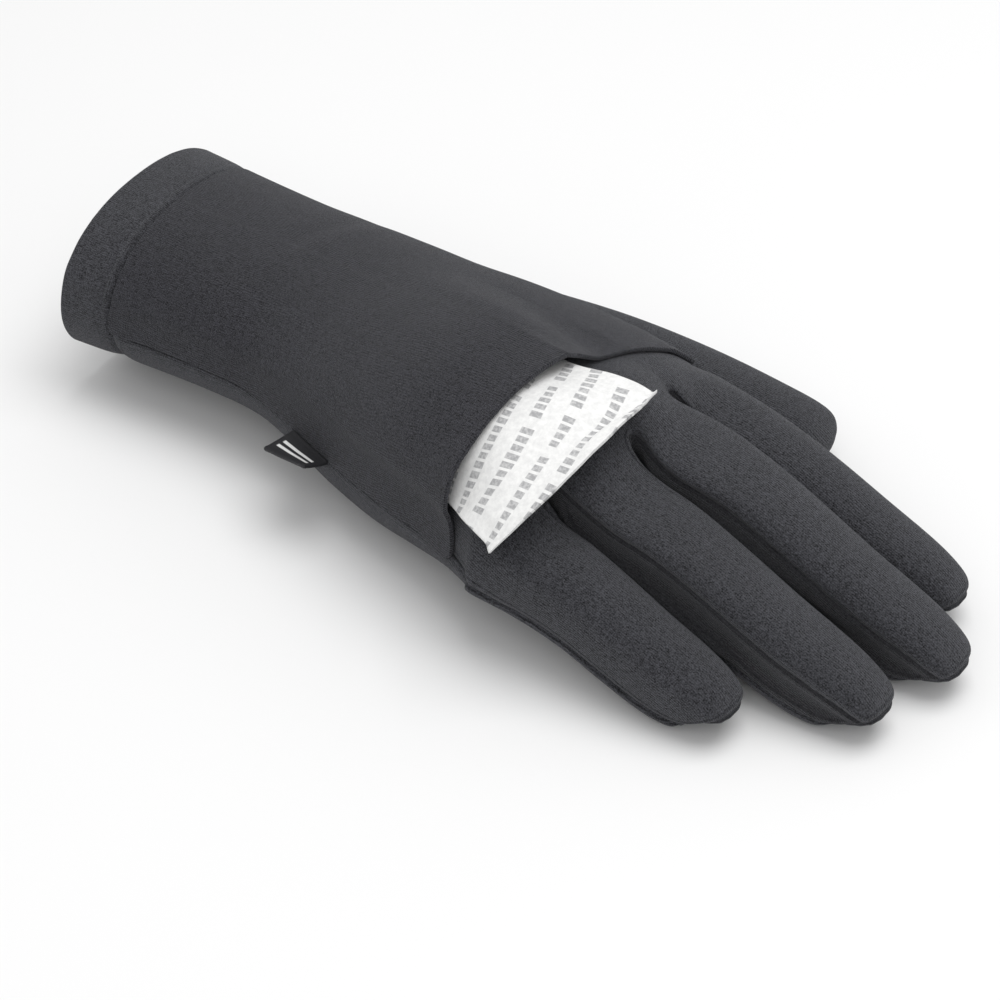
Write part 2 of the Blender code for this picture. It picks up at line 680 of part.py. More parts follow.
def stand_on_origin(skin, pieces):
    """Moves the pieces together so that the skin's box is centred over the origin."""
    for axis in (0, 1):
        spread = [vertex.co[axis] for vertex in skin.verts]
        middle = (min(spread) + max(spread)) / 2
        for piece in pieces:
            piece.location[axis] = -middle


def main():
    clear_scene()
    skin = build_skin()
    pieces = []
    for name in PANELS:
        thickness = 2 * KNIT if name == HEM else KNIT
        finish = material(name + "_knit", (0.030, 0.030, 0.034), 0.92)
        pieces.append(panel_solid(skin, name, thickness, finish))
    pieces.append(build_pocket(material("pocket_knit", (0.028, 0.028, 0.033), 0.92)))
    pieces.append(build_pouch(material("pouch_fleece", (0.80, 0.80, 0.79), 0.75)))
    pieces.append(build_tab(material("tab_woven", (0.015, 0.015, 0.017), 0.60)))
    stand_on_origin(skin, pieces)
    skin.free()


main()
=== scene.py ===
"""The finished look of the knitted glove liner: its cloth, seams, folds and pouch, and the stage.

The knit skin is the same cage as the CAD model's, drawn smoothly through its points, parted along
its seams and rolled inwards there. Lengths are in metres and angles in degrees.
"""

import math
from collections import namedtuple

import bmesh
import bpy
import numpy as np
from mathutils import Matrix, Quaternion, Vector, kdtree, noise


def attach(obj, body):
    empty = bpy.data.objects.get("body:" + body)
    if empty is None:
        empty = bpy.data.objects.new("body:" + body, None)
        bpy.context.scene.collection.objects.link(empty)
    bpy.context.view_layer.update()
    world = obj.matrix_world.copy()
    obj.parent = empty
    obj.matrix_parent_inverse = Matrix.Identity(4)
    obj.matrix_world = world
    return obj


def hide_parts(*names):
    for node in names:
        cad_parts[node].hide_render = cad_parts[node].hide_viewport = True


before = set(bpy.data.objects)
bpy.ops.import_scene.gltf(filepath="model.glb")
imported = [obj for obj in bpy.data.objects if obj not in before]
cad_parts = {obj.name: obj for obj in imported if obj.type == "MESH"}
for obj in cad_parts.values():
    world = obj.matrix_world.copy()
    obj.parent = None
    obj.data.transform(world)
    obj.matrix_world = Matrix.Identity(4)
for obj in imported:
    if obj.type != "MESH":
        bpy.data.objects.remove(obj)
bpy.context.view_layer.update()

# Driving sizes of the glove, as in the CAD model. Only here, where cloth can be drawn smoothly, are
# the gaps between the fingers narrower and shallower, the fingers' roots squarer and the thumb's
# end blunter. ROOT_FADE is how fast the hand's rings bend towards the fingers' uneven roots.
PALM_LENGTH = 0.102
CUFF_LENGTH = 0.058
HEM_DEPTH = 0.015
KNUCKLE_WIDTH = 0.091
BACK_HEIGHT = 0.053
CROTCH_WIDTH = 0.0016
ROOT_FADE = 3
FINGER_HEIGHT_SHARE = 1.0
FINGERTIP_HEIGHT = 0.0073
FINGERTIP_BULGE = 0.02

# The cloth's thickness, the gaps that keep the pieces apart, and where the seams lie round a
# finger: the corner of the back panel, above the middle of the side. The hand's outermost points
# are at SIDE_U, a little past the corners of its back at -1 and 1.
KNIT = 0.0012
SEAM_GAP = 0.0003
LAYER_GAP = 0.0004
SEAM_ANGLE = 24.0
CORNER_SHARE = 0.93
SIDE_U = 1 / CORNER_SHARE

# The pocket on the back, from the cuff's hem to its own slanting edge. u runs across the back from
# -1 at the thumb's side, and along says how far up the palm the edge lies, as a share of it.
PocketEdge = namedtuple("PocketEdge", "u along")
POCKET_EDGE = [
    PocketEdge(-1.00, 0.915),
    PocketEdge(-0.30, 0.838),
    PocketEdge(0.45, 0.760),
    PocketEdge(0.75, 0.737),
    PocketEdge(1.08, 0.720),
]
POCKET_ROWS = 14
POCKET_FALL = 0.010
POCKET_SLOPE = 0.020
POCKET_FULL_U = 0.98
POCKET_START_U = -1.04

# The back panel sinks under the pocket over this distance from its seam on the thumb's side.
POCKET_SIDE = 0.0025

# The warmer pouch. Across is measured round the back from the middle column of the hand, along
# from the wrist, and back from the pouch's free end. The end slants across by POUCH_SLANT degrees
# and bows out by POUCH_BOW. The pouch fills out from its edges over POUCH_FLAT.
POUCH_WIDTH = 0.050
POUCH_LENGTH = 0.070
POUCH_THICKNESS = 0.0046
POUCH_EDGE = 0.0010
POUCH_SEAL = 0.0055
POUCH_TAPER = 0.034
POUCH_END_ALONG = 0.0985
POUCH_SLANT = -12.0
POUCH_RISE = 0.0070
POUCH_RISE_LENGTH = 0.030
POUCH_RISE_CURVE = 1.5
POUCH_FLAT = 0.020
POUCH_BOW = 0.0026
POUCH_COLUMNS = 12
POUCH_ROWS = 14
POUCH_CREASE_ANGLE = 60.0

# Puckers along the pouch's seals and lumps of grain within them: how high, how wide, and how far
# from the edge the puckers end and the lumps begin.
PUCKER_HEIGHT = 0.00022
PUCKER_SIZE = 0.0060
PUCKER_START = 0.003
PUCKER_FADE = 0.006
LUMP_HEIGHT = 0.00025
LUMP_SIZE = 0.007
LUMP_FADE = 0.004

# back is a share of the pouch's length, and left and right are its sides, as shares of its width.
PouchRow = namedtuple("PouchRow", "back left right")
POUCH_SIDES = [
    PouchRow(0.00, -0.06, 0.95),
    PouchRow(0.31, 0.00, 0.91),
    PouchRow(0.64, -0.10, 0.82),
    PouchRow(1.00, -0.18, 0.72),
]

# The folded woven tab in the side seam. Its two ends are told apart as near and far from the
# cuff: how far up the hand each is sewn in, and how far its fold stands out, back and up from there.
# Its two plies lie closer in the middle, by TAB_PINCH of its thickness.
TAB_THICKNESS = 0.0010
TAB_PINCH = 0.35
TabEnd = namedtuple("TabEnd", "along out back up")
TAB_NEAR = TabEnd(0.0175, 0.0088, 0.0025, -0.0005)
TAB_FAR = TabEnd(0.0300, 0.0078, 0.0012, 0.0035)
TAB_CURL = 1.5
TAB_COLUMNS = 8
TAB_ROWS = 10

# One ring of the hand for each row. along is a share of the palm's length, or of the cuff's below
# zero. middle and half are shares of the knuckles' breadth, and the heights of the back's. The
# exponents say how square the arch is. valley is how far the gaps between the fingers have sunk,
# and tuck how far the palm is raised on the thumb's side, to make room for the thumb.
HandRow = namedtuple(
    "HandRow", "along middle half left right top bottom arch belly valley tuck"
)
HAND_ROWS = [
    HandRow(-1.00, -0.130, 0.375, 0.50, 0.46, 0.90, 0.09, 2.2, 2.2, 0.00, 0.00),
    HandRow(-0.74, -0.126, 0.364, 0.50, 0.46, 0.89, 0.10, 2.2, 2.2, 0.00, 0.00),
    HandRow(-0.48, -0.122, 0.354, 0.50, 0.46, 0.88, 0.11, 2.2, 2.2, 0.00, 0.00),
    HandRow(-0.24, -0.118, 0.348, 0.50, 0.46, 0.88, 0.11, 2.2, 2.2, 0.00, 0.00),
    HandRow(0.00, -0.113, 0.349, 0.50, 0.45, 0.89, 0.10, 2.2, 2.2, 0.00, 0.00),
    HandRow(0.12, -0.093, 0.363, 0.50, 0.43, 0.91, 0.05, 2.2, 2.2, 0.00, 0.00),
    HandRow(0.23, -0.066, 0.374, 0.50, 0.40, 0.93, -0.02, 2.3, 2.2, 0.00, 0.00),
    HandRow(0.34, -0.043, 0.387, 0.50, 0.38, 0.95, -0.05, 2.3, 2.2, 0.00, 0.00),
    HandRow(0.45, -0.025, 0.406, 0.50, 0.38, 0.97, -0.05, 2.3, 2.2, 0.00, 0.00),
    HandRow(0.56, -0.006, 0.416, 0.51, 0.38, 0.99, -0.02, 2.3, 2.2, 0.00, 0.04),
    HandRow(0.67, 0.013, 0.424, 0.52, 0.38, 1.00, 0.02, 2.3, 2.2, 0.00, 0.10),
    HandRow(0.78, 0.027, 0.438, 0.53, 0.38, 1.00, 0.07, 2.2, 2.2, 0.00, 0.10),
    HandRow(0.88, 0.039, 0.459, 0.52, 0.38, 0.97, 0.13, 2.1, 2.2, 0.15, 0.06),
    HandRow(0.95, 0.050, 0.474, 0.50, 0.38, 0.93, 0.18, 2.1, 2.2, 0.55, 0.02),
    HandRow(1.00, 0.063, 0.486, 0.48, 0.38, 0.89, 0.23, 2.1, 2.2, 1.00, 0.00),
]
THUMB_FIRST_ROW = 6
THUMB_LAST_ROW = 10

# left and right are where a finger's back panel starts and ends across the knuckles, from -1 at
# the thumb's side to 1. rise is how far its middle stands over the tip's where it leaves the hand.
Finger = namedtuple("Finger", "name left right length width splay rise")
FINGERS = [
    Finger("index", -1.00, -0.440, 0.0790, 0.0208, -3.0, 0.0200),
    Finger("middle", -0.440, 0.060, 0.0870, 0.0220, -1.7, 0.0240),
    Finger("ring", 0.060, 0.580, 0.0825, 0.0215, -3.0, 0.0205),
    Finger("little", 0.580, 1.00, 0.0625, 0.0205, -2.5, 0.0155),
]

# How far short of the middle finger's crotch the fingers start, across the knuckles at u.
Root = namedtuple("Root", "u share")
ROOTS = [Root(-1.0, 0.06), Root(-0.44, 0.015), Root(0.06, 0.0), Root(0.58, 0.10), Root(1.0, 0.19)]

# along is a share of the finger's length, girth of its width and height of its rise over the tip.
# nod is how far that ring leans forward over the tip, in degrees, and square how square it is: 2 is
# an ellipse. The palm panel wraps the tip from TIP_SEAM_ROW on.
FingerRow = namedtuple("FingerRow", "along girth height nod square")
FINGER_ROWS = [
    FingerRow(0.11, 1.05, 0.97, 0.0, 4.6),
    FingerRow(0.23, 1.03, 0.89, 0.0, 3.9),
    FingerRow(0.36, 1.01, 0.75, 0.0, 3.3),
    FingerRow(0.49, 1.01, 0.56, 0.0, 2.8),
    FingerRow(0.61, 1.00, 0.37, 0.0, 2.6),
    FingerRow(0.72, 0.98, 0.21, 0.0, 2.6),
    FingerRow(0.82, 0.92, 0.09, 5.0, 2.6),
    FingerRow(0.892, 0.83, 0.00, 20.0, 2.6),
    FingerRow(0.942, 0.64, -0.07, 42.0, 2.6),
]
TIP_SEAM_ROW = 8

# The thumb's rings: the middle of each as shares of the knuckles' breadth, the palm's length and
# the back's height, the way it heads, and its size as shares of the thumb's width.
THUMB_WIDTH = 0.0225
THUMB_DROP = 0.12
THUMB_SQUARENESS = 2.6
THUMB_BULGE = 0.12
ThumbRow = namedtuple("ThumbRow", "x y z heading girth height")
THUMB_ROWS = [
    ThumbRow(-0.502, 0.538, 0.281, 40.0, 1.18, 1.10),
    ThumbRow(-0.546, 0.665, 0.234, 22.0, 1.10, 1.04),
    ThumbRow(-0.565, 0.791, 0.213, 10.0, 1.03, 0.98),
    ThumbRow(-0.566, 0.920, 0.200, 5.0, 1.00, 0.94),
    ThumbRow(-0.560, 1.038, 0.193, 2.0, 0.96, 0.88),
    ThumbRow(-0.562, 1.125, 0.178, 0.0, 0.92, 0.80),
    ThumbRow(-0.565, 1.180, 0.168, 0.0, 0.80, 0.52),
]

# The panels' names, and how the cage is divided. A finger has so many columns of faces on its back,
# and GAP_DEPTHS says how deep each of its lines of points sits in the gaps beside it.
BACK, PALM, THUMB, HEM = "back_panel", "palm_panel", "thumb", "cuff_hem"
FOURCHETTES = ["fourchette_index_middle", "fourchette_middle_ring", "fourchette_ring_little"]
PANELS = [BACK, PALM, THUMB, HEM] + FOURCHETTES
COLUMNS_A_FINGER = 4
GAP_DEPTHS = [1.0, 0.30, 0.0, 0.30, 1.0]
GAP_HEIGHT = 0.055
PALM_GAP_SHARE = 0.8
TOP_COUNT = len(FINGERS) * (COLUMNS_A_FINGER + 1)
RING_COUNT = 2 * TOP_COUNT + 2
FINGER_RING = 2 * COLUMNS_A_FINGER + 4
FINGER_TOP = 1 + COLUMNS_A_FINGER // 2
FINGER_SIDE = FINGER_RING // 2
FINGER_UNDER = FINGER_TOP + FINGER_SIDE

# How finely lengths are measured on the hand, and how often a cage is fitted to its own points.
MEASURING_STEPS = 24
SHARE_STEPS = 6
NEARBY = 0.02
FITTING_ROUNDS = 8

# What is noted on the thumb's points in the place of what is noted on the hand's.
SLEEVE_MARKS = ("sleeve", "on", "on")

# How the cloth is finished. A seam draws both panels in by SEAM_DEPTH, fading out over SEAM_WIDTH
# by the power SEAM_FALL. Each panel laps past its seam by SEAM_LAP.
SEAM_DEPTH = 0.0011
SEAM_WIDTH = 0.0012
SEAM_FALL = 1.3
SEAM_LAP = 0.0002
BORDER_ROWS = (0.00025, 0.00050)

# The fourchettes are hollow between their seams, by this depth at this distance from them.
HOLLOW_DEPTH = 0.0022
HOLLOW_REACH = 0.0045

# The hand's two outer fingers are rounder on their outer sides. The little finger's seam lies low
# there: the angles round it of the seam and of the next two columns of the palm.
OUTER_SQUARENESS = 2.3
OUTER_GIRTH = 0.96
LITTLE_SEAM = [-26.0, -46.0, -70.0]

# The folds in the cloth, each a line from one place to another. u and along are across the back and
# up the palm, as for the pocket's edge. A positive height is a ridge and a negative one a dent.
Fold = namedtuple("Fold", "u along end_u end_along width height")
POCKET_FOLDS = [
    Fold(-0.80, 0.00, 0.10, -0.14, 0.0030, -0.0005),
    Fold(-0.75, 0.06, 0.10, -0.06, 0.0040, 0.0003),
]

# Jersey's ribs and its rows of loops, from one to the next. A row's two halves slant by LOOP_SLANT,
# and the ribs wander by up to half of RIB_WANDER. RELIEF is the depth of the knit's bump and
# PLY_RELIEF that of the ridge beside a seam, where the folded edge of the cloth ends.
WALE = 0.00056
COURSE = 0.00042
LOOP_SLANT = 1.1
RIB_WANDER = 0.0010
RELIEF = 0.00030
PLY_RELIEF = 0.0005
FIBRE_SHARE = 0.22
FIBRE_PALENESS = 2.6
SHEEN = 0.25

# The three jerseys: the main one, the fourchettes' and the pocket's. The fourchettes' one is darker:
# painted shade in the gaps between the fingers.
Jersey = namedtuple("Jersey", "name dark light")
MAIN_JERSEY = Jersey("jersey", (0.002, 0.002, 0.003), (0.061, 0.062, 0.071))
GAP_SHADE_JERSEY = Jersey("fourchette_jersey", (0.010, 0.010, 0.012), (0.034, 0.034, 0.038))
POCKET_JERSEY = Jersey("pocket_jersey", (0.003, 0.003, 0.004), (0.038, 0.038, 0.046))

# The pouch's print: rows of dashes, turned on the cloth, from one row and one dash to the next.
# Each row is shifted by ROW_SHIFT of a dash, and GAP_CHANCE of the dashes are left out.
PRINT_TURN = -14.0
PRINT_ROW = 0.0063
PRINT_STEP = 0.0023
ROW_SHIFT = 0.37
GAP_CHANCE = 0.16
INK = (0.30, 0.30, 0.31, 1)

# The tab's two stripes, where they lie from its seam to its fold, and its threads each way.
STRIPES = (0.46, 0.68)
STRIPE_EDGE = (0.060, 0.045)
TAB_THREADS = 46
TAB_PICKS = 34

# Camera and stage.
CAMERA_AZIMUTH = 122.7
CAMERA_ELEVATION = 40.0
CAMERA_DISTANCE = 0.702
CAMERA_TARGET = (0.0243, 0.0753, 0.025)
CAMERA_LENS = 108.0
FLOOR_SIZE = 6.0
WORLD_STRENGTH = 0.60
Light = namedtuple("Light", "name place size power")
LIGHTS = [
    Light("overhead", (-0.15, 0.20, 1.20), 0.9, 9.0),
    Light("fill", (0.9, 0.5, 1.0), 0.8, 2.5),
]


def knuckle_columns():
    """Where the back's columns lie across the knuckles, and how deep each sits in a gap."""
    half_gap = CROTCH_WIDTH / (KNUCKLE_WIDTH * HAND_ROWS[-1].half * CORNER_SHARE) / 2
    columns = []
    for finger in FINGERS:
        left = finger.left + (half_gap if finger.left > -1 else 0)
        right = finger.right - (half_gap if finger.right < 1 else 0)
        for step in range(COLUMNS_A_FINGER + 1):
            share = step / COLUMNS_A_FINGER
            depth = GAP_DEPTHS[step]
            if finger.left == -1 and step < 2 or finger.right == 1 and step > 2:
                depth = 0.0
            columns.append((left + (right - left) * share, depth))
    return columns


COLUMNS = knuckle_columns()


def between(rows, at):
    """The values of a table's rows at a place between two of them; each row starts with its place."""
    at = min(max(at, rows[0][0]), rows[-1][0])
    for low, high in zip(rows, rows[1:]):
        if at <= high[0]:
            t = (at - low[0]) / (high[0] - low[0])
            return [a + (b - a) * t for a, b in zip(low, high)]
    return list(rows[-1])


def root_share(u):
    """How far short of the middle crotch the fingers start at u, as a share of the palm."""
    return between(ROOTS, u)[1]


def row_at(along):
    """The hand's row at any share of the palm, between the two rows of the table around it."""
    return HandRow(*between(HAND_ROWS, along))


def hand_point(u, along, depth=0.0, palm=False):
    """A point of the hand at u across it, on the back or on the palm, sunk where depth says."""
    row = row_at(along)
    x = (row.middle + row.half * CORNER_SHARE * u) * KNUCKLE_WIDTH
    y = along * (PALM_LENGTH if along > 0 else CUFF_LENGTH)
    y -= root_share(u) * PALM_LENGTH * max(0.0, along) ** ROOT_FADE
    side = row.left + (row.right - row.left) * (u + 1) / 2
    across = abs(CORNER_SHARE * u)
    sunk = GAP_HEIGHT * row.valley * depth
    if palm:
        belly = (1 - across**row.belly) ** (1 / row.belly)
        height = side + (row.bottom - side) * belly + row.tuck * min(u, 0.0) ** 2
        height = max(0.0, height + sunk * PALM_GAP_SHARE)
    else:
        crown = (1 - across**row.arch) ** (1 / row.arch)
        height = side + (row.top - side) * crown - sunk
    return Vector((x, y, height * BACK_HEIGHT))


def side_point(side, along):
    """The outermost point of the hand on one side: -1 is the thumb's and 1 the little finger's."""
    row = row_at(along)
    place = hand_point(side, along)
    place.x = (row.middle + row.half * side) * KNUCKLE_WIDTH
    place.z = (row.left if side < 0 else row.right) * BACK_HEIGHT
    return place


def hand_ring(along):
    """The points of one ring of the hand: a side, the back to the other side, and the palm."""
    back = [hand_point(u, along, depth) for u, depth in COLUMNS]
    palm = [hand_point(u, along, depth, palm=True) for u, depth in COLUMNS]
    return [side_point(-1, along)] + back + [side_point(1, along)] + palm[::-1]


def lengths_round(places, start):
    """How far round a ring each of its points lies from the one at start, either way."""
    count = len(places)
    found = [0.0] * count
    for turn in (1, -1):
        far = 0.0
        for step in range(1, count // 2 + 1):
            here = (start + turn * step) % count
            far += (places[here] - places[(here - turn) % count]).length
            if turn > 0 or step < count / 2:
                found[here] = turn * far
    return found


class Cage:
    """The knit skin as a cage of quads, and where each point lies in the cloth."""

    def __init__(self):
        self.bm = bmesh.new()
        layers = self.bm.verts.layers.float
        self.marks = {name: layers.new(name) for name in ("top", "under", "ahead", "sleeve", "on")}

    def mark(self, ring, tops, unders, ahead, names=("top", "under", "ahead")):
        """Notes on a ring how far each point lies round the back, round the palm and ahead."""
        for vertex, top, under, far in zip(ring, tops, unders, ahead):
            vertex[self.marks[names[0]]] = top
            vertex[self.marks[names[1]]] = under
            vertex[self.marks[names[2]]] = far

    def pull(self, ring, places, owners, closed=True):
        """Pulls a ring of vertices out into one more band of faces, and says who owns each."""
        bm = self.bm
        ends = ring[1:] + ring[:1] if closed else ring[1:]
        edges = [bm.edges.get((a, b)) for a, b in zip(ring, ends)]
        made = bmesh.ops.extrude_edge_only(bm, edges=edges)["geom"]
        fresh = {v for v in made if isinstance(v, bmesh.types.BMVert)}
        follows = {}
        for vertex in ring:
            for edge in vertex.link_edges:
                if edge.other_vert(vertex) in fresh:
                    follows[vertex] = edge.other_vert(vertex)
        pulled = [follows[v] for v in ring]
        for vertex, place in zip(pulled, places):
            vertex.co = place
        ends = pulled[1:] + pulled[:1] if closed else pulled[1:]
        for a, b, owner in zip(pulled, ends, owners):
            bm.edges.get((a, b)).link_faces[0].material_index = PANELS.index(owner)
        return pulled

    def mark_hand(self, ring, y):
        """Marks a ring of the hand, which lies that far up it."""
        places = [v.co.copy() for v in ring]
        tops = lengths_round(places, TOP_COUNT // 2)
        unders = [-value for value in lengths_round(places, RING_COUNT - TOP_COUNT // 2)]
        self.mark(ring, tops, unders, [y] * len(ring))

    def build_hand(self):
        """The hand's tube, from the cuff to the crotches, as its rings of vertices."""
        made = bmesh.ops.create_circle(self.bm, segments=RING_COUNT, radius=KNUCKLE_WIDTH / 2)
        ring = made["verts"]
        for vertex, place in zip(ring, hand_ring(HAND_ROWS[0].along)):
            vertex.co = place
        self.mark_hand(ring, -CUFF_LENGTH)
        rings = [ring]
        hem_row = -1.0 + HEM_DEPTH / CUFF_LENGTH
        owners = [BACK] * (TOP_COUNT + 1) + [PALM] * (TOP_COUNT + 1)
        for row in HAND_ROWS[1:]:
            along = hem_row if row is HAND_ROWS[1] else row.along
            whose = [HEM] * RING_COUNT if row is HAND_ROWS[1] else owners
            rings.append(self.pull(rings[-1], hand_ring(along), whose))
            self.mark_hand(rings[-1], along * (PALM_LENGTH if along > 0 else CUFF_LENGTH))
        return rings

    def close_tip(self, ring, reach, owner, ahead):
        """Closes a finger's last ring with a fan of faces round one point ahead of it."""
        ends = ring[1:] + ring[:1]
        edges = [self.bm.edges.get(pair) for pair in zip(ring, ends)]
        face = bmesh.ops.contextual_create(self.bm, geom=edges)["faces"][0]
        face.material_index = PANELS.index(owner)
        point = bmesh.ops.poke(self.bm, faces=[face])["verts"][0]
        point.co += reach
        point.co.z = max(0.0, point.co.z)
        for name in ("ahead", "on"):
            point[self.marks[name]] = ahead + reach.length

    def build_finger(self, number, root):
        """A finger, pulled out from its root ring by ring to its tip."""
        finger = FINGERS[number]
        start = sum((v.co for v in root), Vector()) / len(root)
        heading = math.radians(finger.splay)
        level = Vector((-math.sin(heading), math.cos(heading), 0))
        reach = math.sqrt(finger.length**2 - finger.rise**2)
        middles = [start]
        for row in FINGER_ROWS:
            place = start + level * (reach * row.along)
            place.z = FINGERTIP_HEIGHT + finger.rise * row.height
            middles.append(place)
        ring = root
        ahead = root[FINGER_TOP][self.marks["ahead"]]
        top_shift = root[FINGER_TOP][self.marks["top"]]
        under_shift = root[FINGER_UNDER][self.marks["under"]]
        for count, row in enumerate(FINGER_ROWS):
            forward = (middles[min(count + 2, len(middles) - 1)] - middles[count]).normalized()
            forward = nodding(forward, row.nod)
            half = finger.width * row.girth / 2
            high = half * FINGER_HEIGHT_SHARE
            outer = {"index": -1, "little": 1}.get(finger.name, 0)
            points = ring_points(middles[count + 1], forward, half, high, row.square, outer)
            owners = finger_owners(number, count > TIP_SEAM_ROW)
            ring = self.pull(ring, points, owners)
            ahead += (middles[count + 1] - middles[count]).length
            tops = [top_shift + far for far in lengths_round(points, FINGER_TOP)]
            unders = [under_shift - far for far in lengths_round(points, FINGER_UNDER)]
            self.mark(ring, tops, unders, [ahead] * FINGER_RING)
        self.close_tip(ring, forward * finger.length * FINGERTIP_BULGE, PALM, ahead)

    def build_thumb(self, root):
        """The thumb, pulled out from the ring round its hole."""
        ring = root
        ahead = 0.0
        places = [v.co.copy() for v in root]
        none = [0.0] * FINGER_RING
        self.mark(ring, lengths_round(places, FINGER_TOP), none, none, SLEEVE_MARKS)
        middle = sum(places, Vector()) / FINGER_RING
        for row in THUMB_ROWS:
            last = middle
            middle = Vector((row.x * KNUCKLE_WIDTH, row.y * PALM_LENGTH, row.z * BACK_HEIGHT))
            heading = math.radians(row.heading)
            forward = Vector((-math.sin(heading), math.cos(heading), -THUMB_DROP)).normalized()
            width, height = THUMB_WIDTH * row.girth / 2, THUMB_WIDTH * row.height / 2
            points = ring_points(middle, forward, width, height, THUMB_SQUARENESS)
            ring = self.pull(ring, points, [THUMB] * FINGER_RING)
            ahead += (middle - last).length
            onward = [ahead] * FINGER_RING
            self.mark(ring, lengths_round(points, FINGER_TOP), onward, onward, SLEEVE_MARKS)
        self.close_tip(ring, forward * THUMB_WIDTH * THUMB_BULGE, THUMB, ahead)

    def build_crotch(self, number, hand):
        """The upright fold of a fourchette between two fingers: its two middle vertices."""
        left_top = hand[(number + 1) * (COLUMNS_A_FINGER + 1)]
        right_top = hand[(number + 1) * (COLUMNS_A_FINGER + 1) + 1]
        left_low = hand[RING_COUNT - (number + 1) * (COLUMNS_A_FINGER + 1)]
        right_low = hand[RING_COUNT - (number + 1) * (COLUMNS_A_FINGER + 1) - 1]
        middles = [(left_top.co + left_low.co) / 2, (right_top.co + right_low.co) / 2]
        owner = FOURCHETTES[number]
        pair = self.pull([left_top, right_top], middles, [owner], closed=False)
        face = self.bm.faces.new([pair[0], pair[1], right_low, left_low])
        face.material_index = PANELS.index(owner)
        for vertex, top, turn in zip(pair, (left_top, right_top), (1, -1)):
            far = (vertex.co - top.co).length * turn
            tops = [top[self.marks["top"]] + far]
            self.mark([vertex], tops, tops, [top[self.marks["ahead"]]])
        return pair

    def open_thumb_hole(self, rings):
        """Takes the thumb's side faces out of the hand and gives the ring round the hole."""
        doomed = []
        for row in range(THUMB_FIRST_ROW, THUMB_LAST_ROW):
            for low, high in ((0, 1), (RING_COUNT - 1, 0)):
                corners = {rings[r][c] for r in (row, row + 1) for c in (low, high)}
                doomed += [f for f in rings[row][low].link_faces if set(f.verts) == corners]
        bmesh.ops.delete(self.bm, geom=doomed, context="FACES_ONLY")
        stray = [e for e in self.bm.edges if not e.link_faces]
        bmesh.ops.delete(self.bm, geom=stray, context="EDGES")
        back = [rings[r][1] for r in range(THUMB_FIRST_ROW, THUMB_LAST_ROW + 1)]
        palm = [rings[r][-1] for r in range(THUMB_LAST_ROW, THUMB_FIRST_ROW - 1, -1)]
        return [rings[THUMB_FIRST_ROW][0]] + back + [rings[THUMB_LAST_ROW][0]] + palm

    def finish(self):
        """Lays each face out in the cloth, and gives the cage's mesh."""
        cloth = self.bm.loops.layers.uv.new("cloth")
        for face in self.bm.faces:
            name = PANELS[face.material_index]
            across, along = "top", "ahead"
            if name == PALM:
                across = "under"
            if name == THUMB:
                across, along = "sleeve", "on"
            for loop in face.loops:
                loop[cloth].uv = (loop.vert[self.marks[across]], loop.vert[self.marks[along]])
        return self.bm


def nodding(forward, degrees):
    """A heading turned down towards the floor by so many degrees."""
    across = Vector((forward.y, -forward.x, 0)).normalized()
    turned = forward.copy()
    turned.rotate(Quaternion(across, -math.radians(degrees)))
    return turned


def ring_points(middle, forward, half_width, half_height, square, outer=0):
    """Twelve points round a finger: a side, the back's five, the other side and the palm's.

    outer is the side that faces away from the hand, which is rounder: -1 the thumb's, 1 the other.
    """
    across = Vector((forward.y, -forward.x, 0)).normalized()
    up = across.cross(forward).normalized()
    span = 180 - 2 * SEAM_ANGLE
    steps = [k / COLUMNS_A_FINGER for k in range(COLUMNS_A_FINGER + 1)]
    angles = [180.0] + [180 - SEAM_ANGLE - span * k for k in steps]
    angles += [0.0] + [-SEAM_ANGLE - span * k for k in steps]
    if outer > 0:
        angles[FINGER_SIDE : FINGER_SIDE + len(LITTLE_SEAM)] = LITTLE_SEAM
    points = []
    for angle in angles:
        c, s = math.cos(math.radians(angle)), math.sin(math.radians(angle))
        power = 2 / (min(square, OUTER_SQUARENESS) if c * outer > 0 else square)
        c = math.copysign(abs(c) ** power, c)
        s = math.copysign(abs(s) ** power, s)
        reach = half_width * (OUTER_GIRTH if c * outer > 0 else 1.0)
        place = middle + across * (reach * c) + up * (half_height * s)
        place.z = max(0.0, place.z)
        points.append(place)
    return points


def finger_owners(number, seam_passed):
    """Which panel each of a finger's twelve faces belongs to, round from its thumb side."""
    if seam_passed:
        return [PALM] * FINGER_RING
    upper_left, lower_left = upper_right, lower_right = BACK, PALM
    if number > 0:
        upper_left = lower_left = FOURCHETTES[number - 1]
    if number < len(FOURCHETTES):
        upper_right = lower_right = FOURCHETTES[number]
    back, palm = [BACK] * COLUMNS_A_FINGER, [PALM] * COLUMNS_A_FINGER
    return [upper_left] + back + [upper_right, lower_right] + palm + [lower_left]


def finger_root(number, hand, crotches):
    """The ring of vertices that a finger grows from, closed across the crotches beside it."""
    first = 1 + number * (COLUMNS_A_FINGER + 1)
    top = hand[first : first + COLUMNS_A_FINGER + 1]
    low_first = RING_COUNT - first - COLUMNS_A_FINGER
    low = hand[low_first : low_first + COLUMNS_A_FINGER + 1]
    left = hand[0] if number == 0 else crotches[number - 1][1]
    right = hand[TOP_COUNT + 1] if number == len(crotches) else crotches[number][0]
    return [left] + top + [right] + low


def build_skin():
    """The whole outside of the knit, as one open cage with a panel number on each face."""
    cage = Cage()
    rings = cage.build_hand()
    hand = rings[-1]
    crotches = [cage.build_crotch(number, hand) for number in range(len(FOURCHETTES))]
    for number in range(len(FINGERS)):
        cage.build_finger(number, finger_root(number, hand, crotches))
    cage.build_thumb(cage.open_thumb_hole(rings))
    bm = cage.finish()
    loose = [v for v in bm.verts if not v.link_faces]
    bmesh.ops.delete(bm, geom=loose, context="VERTS")
    bmesh.ops.recalc_face_normals(bm, faces=bm.faces)
    return bm


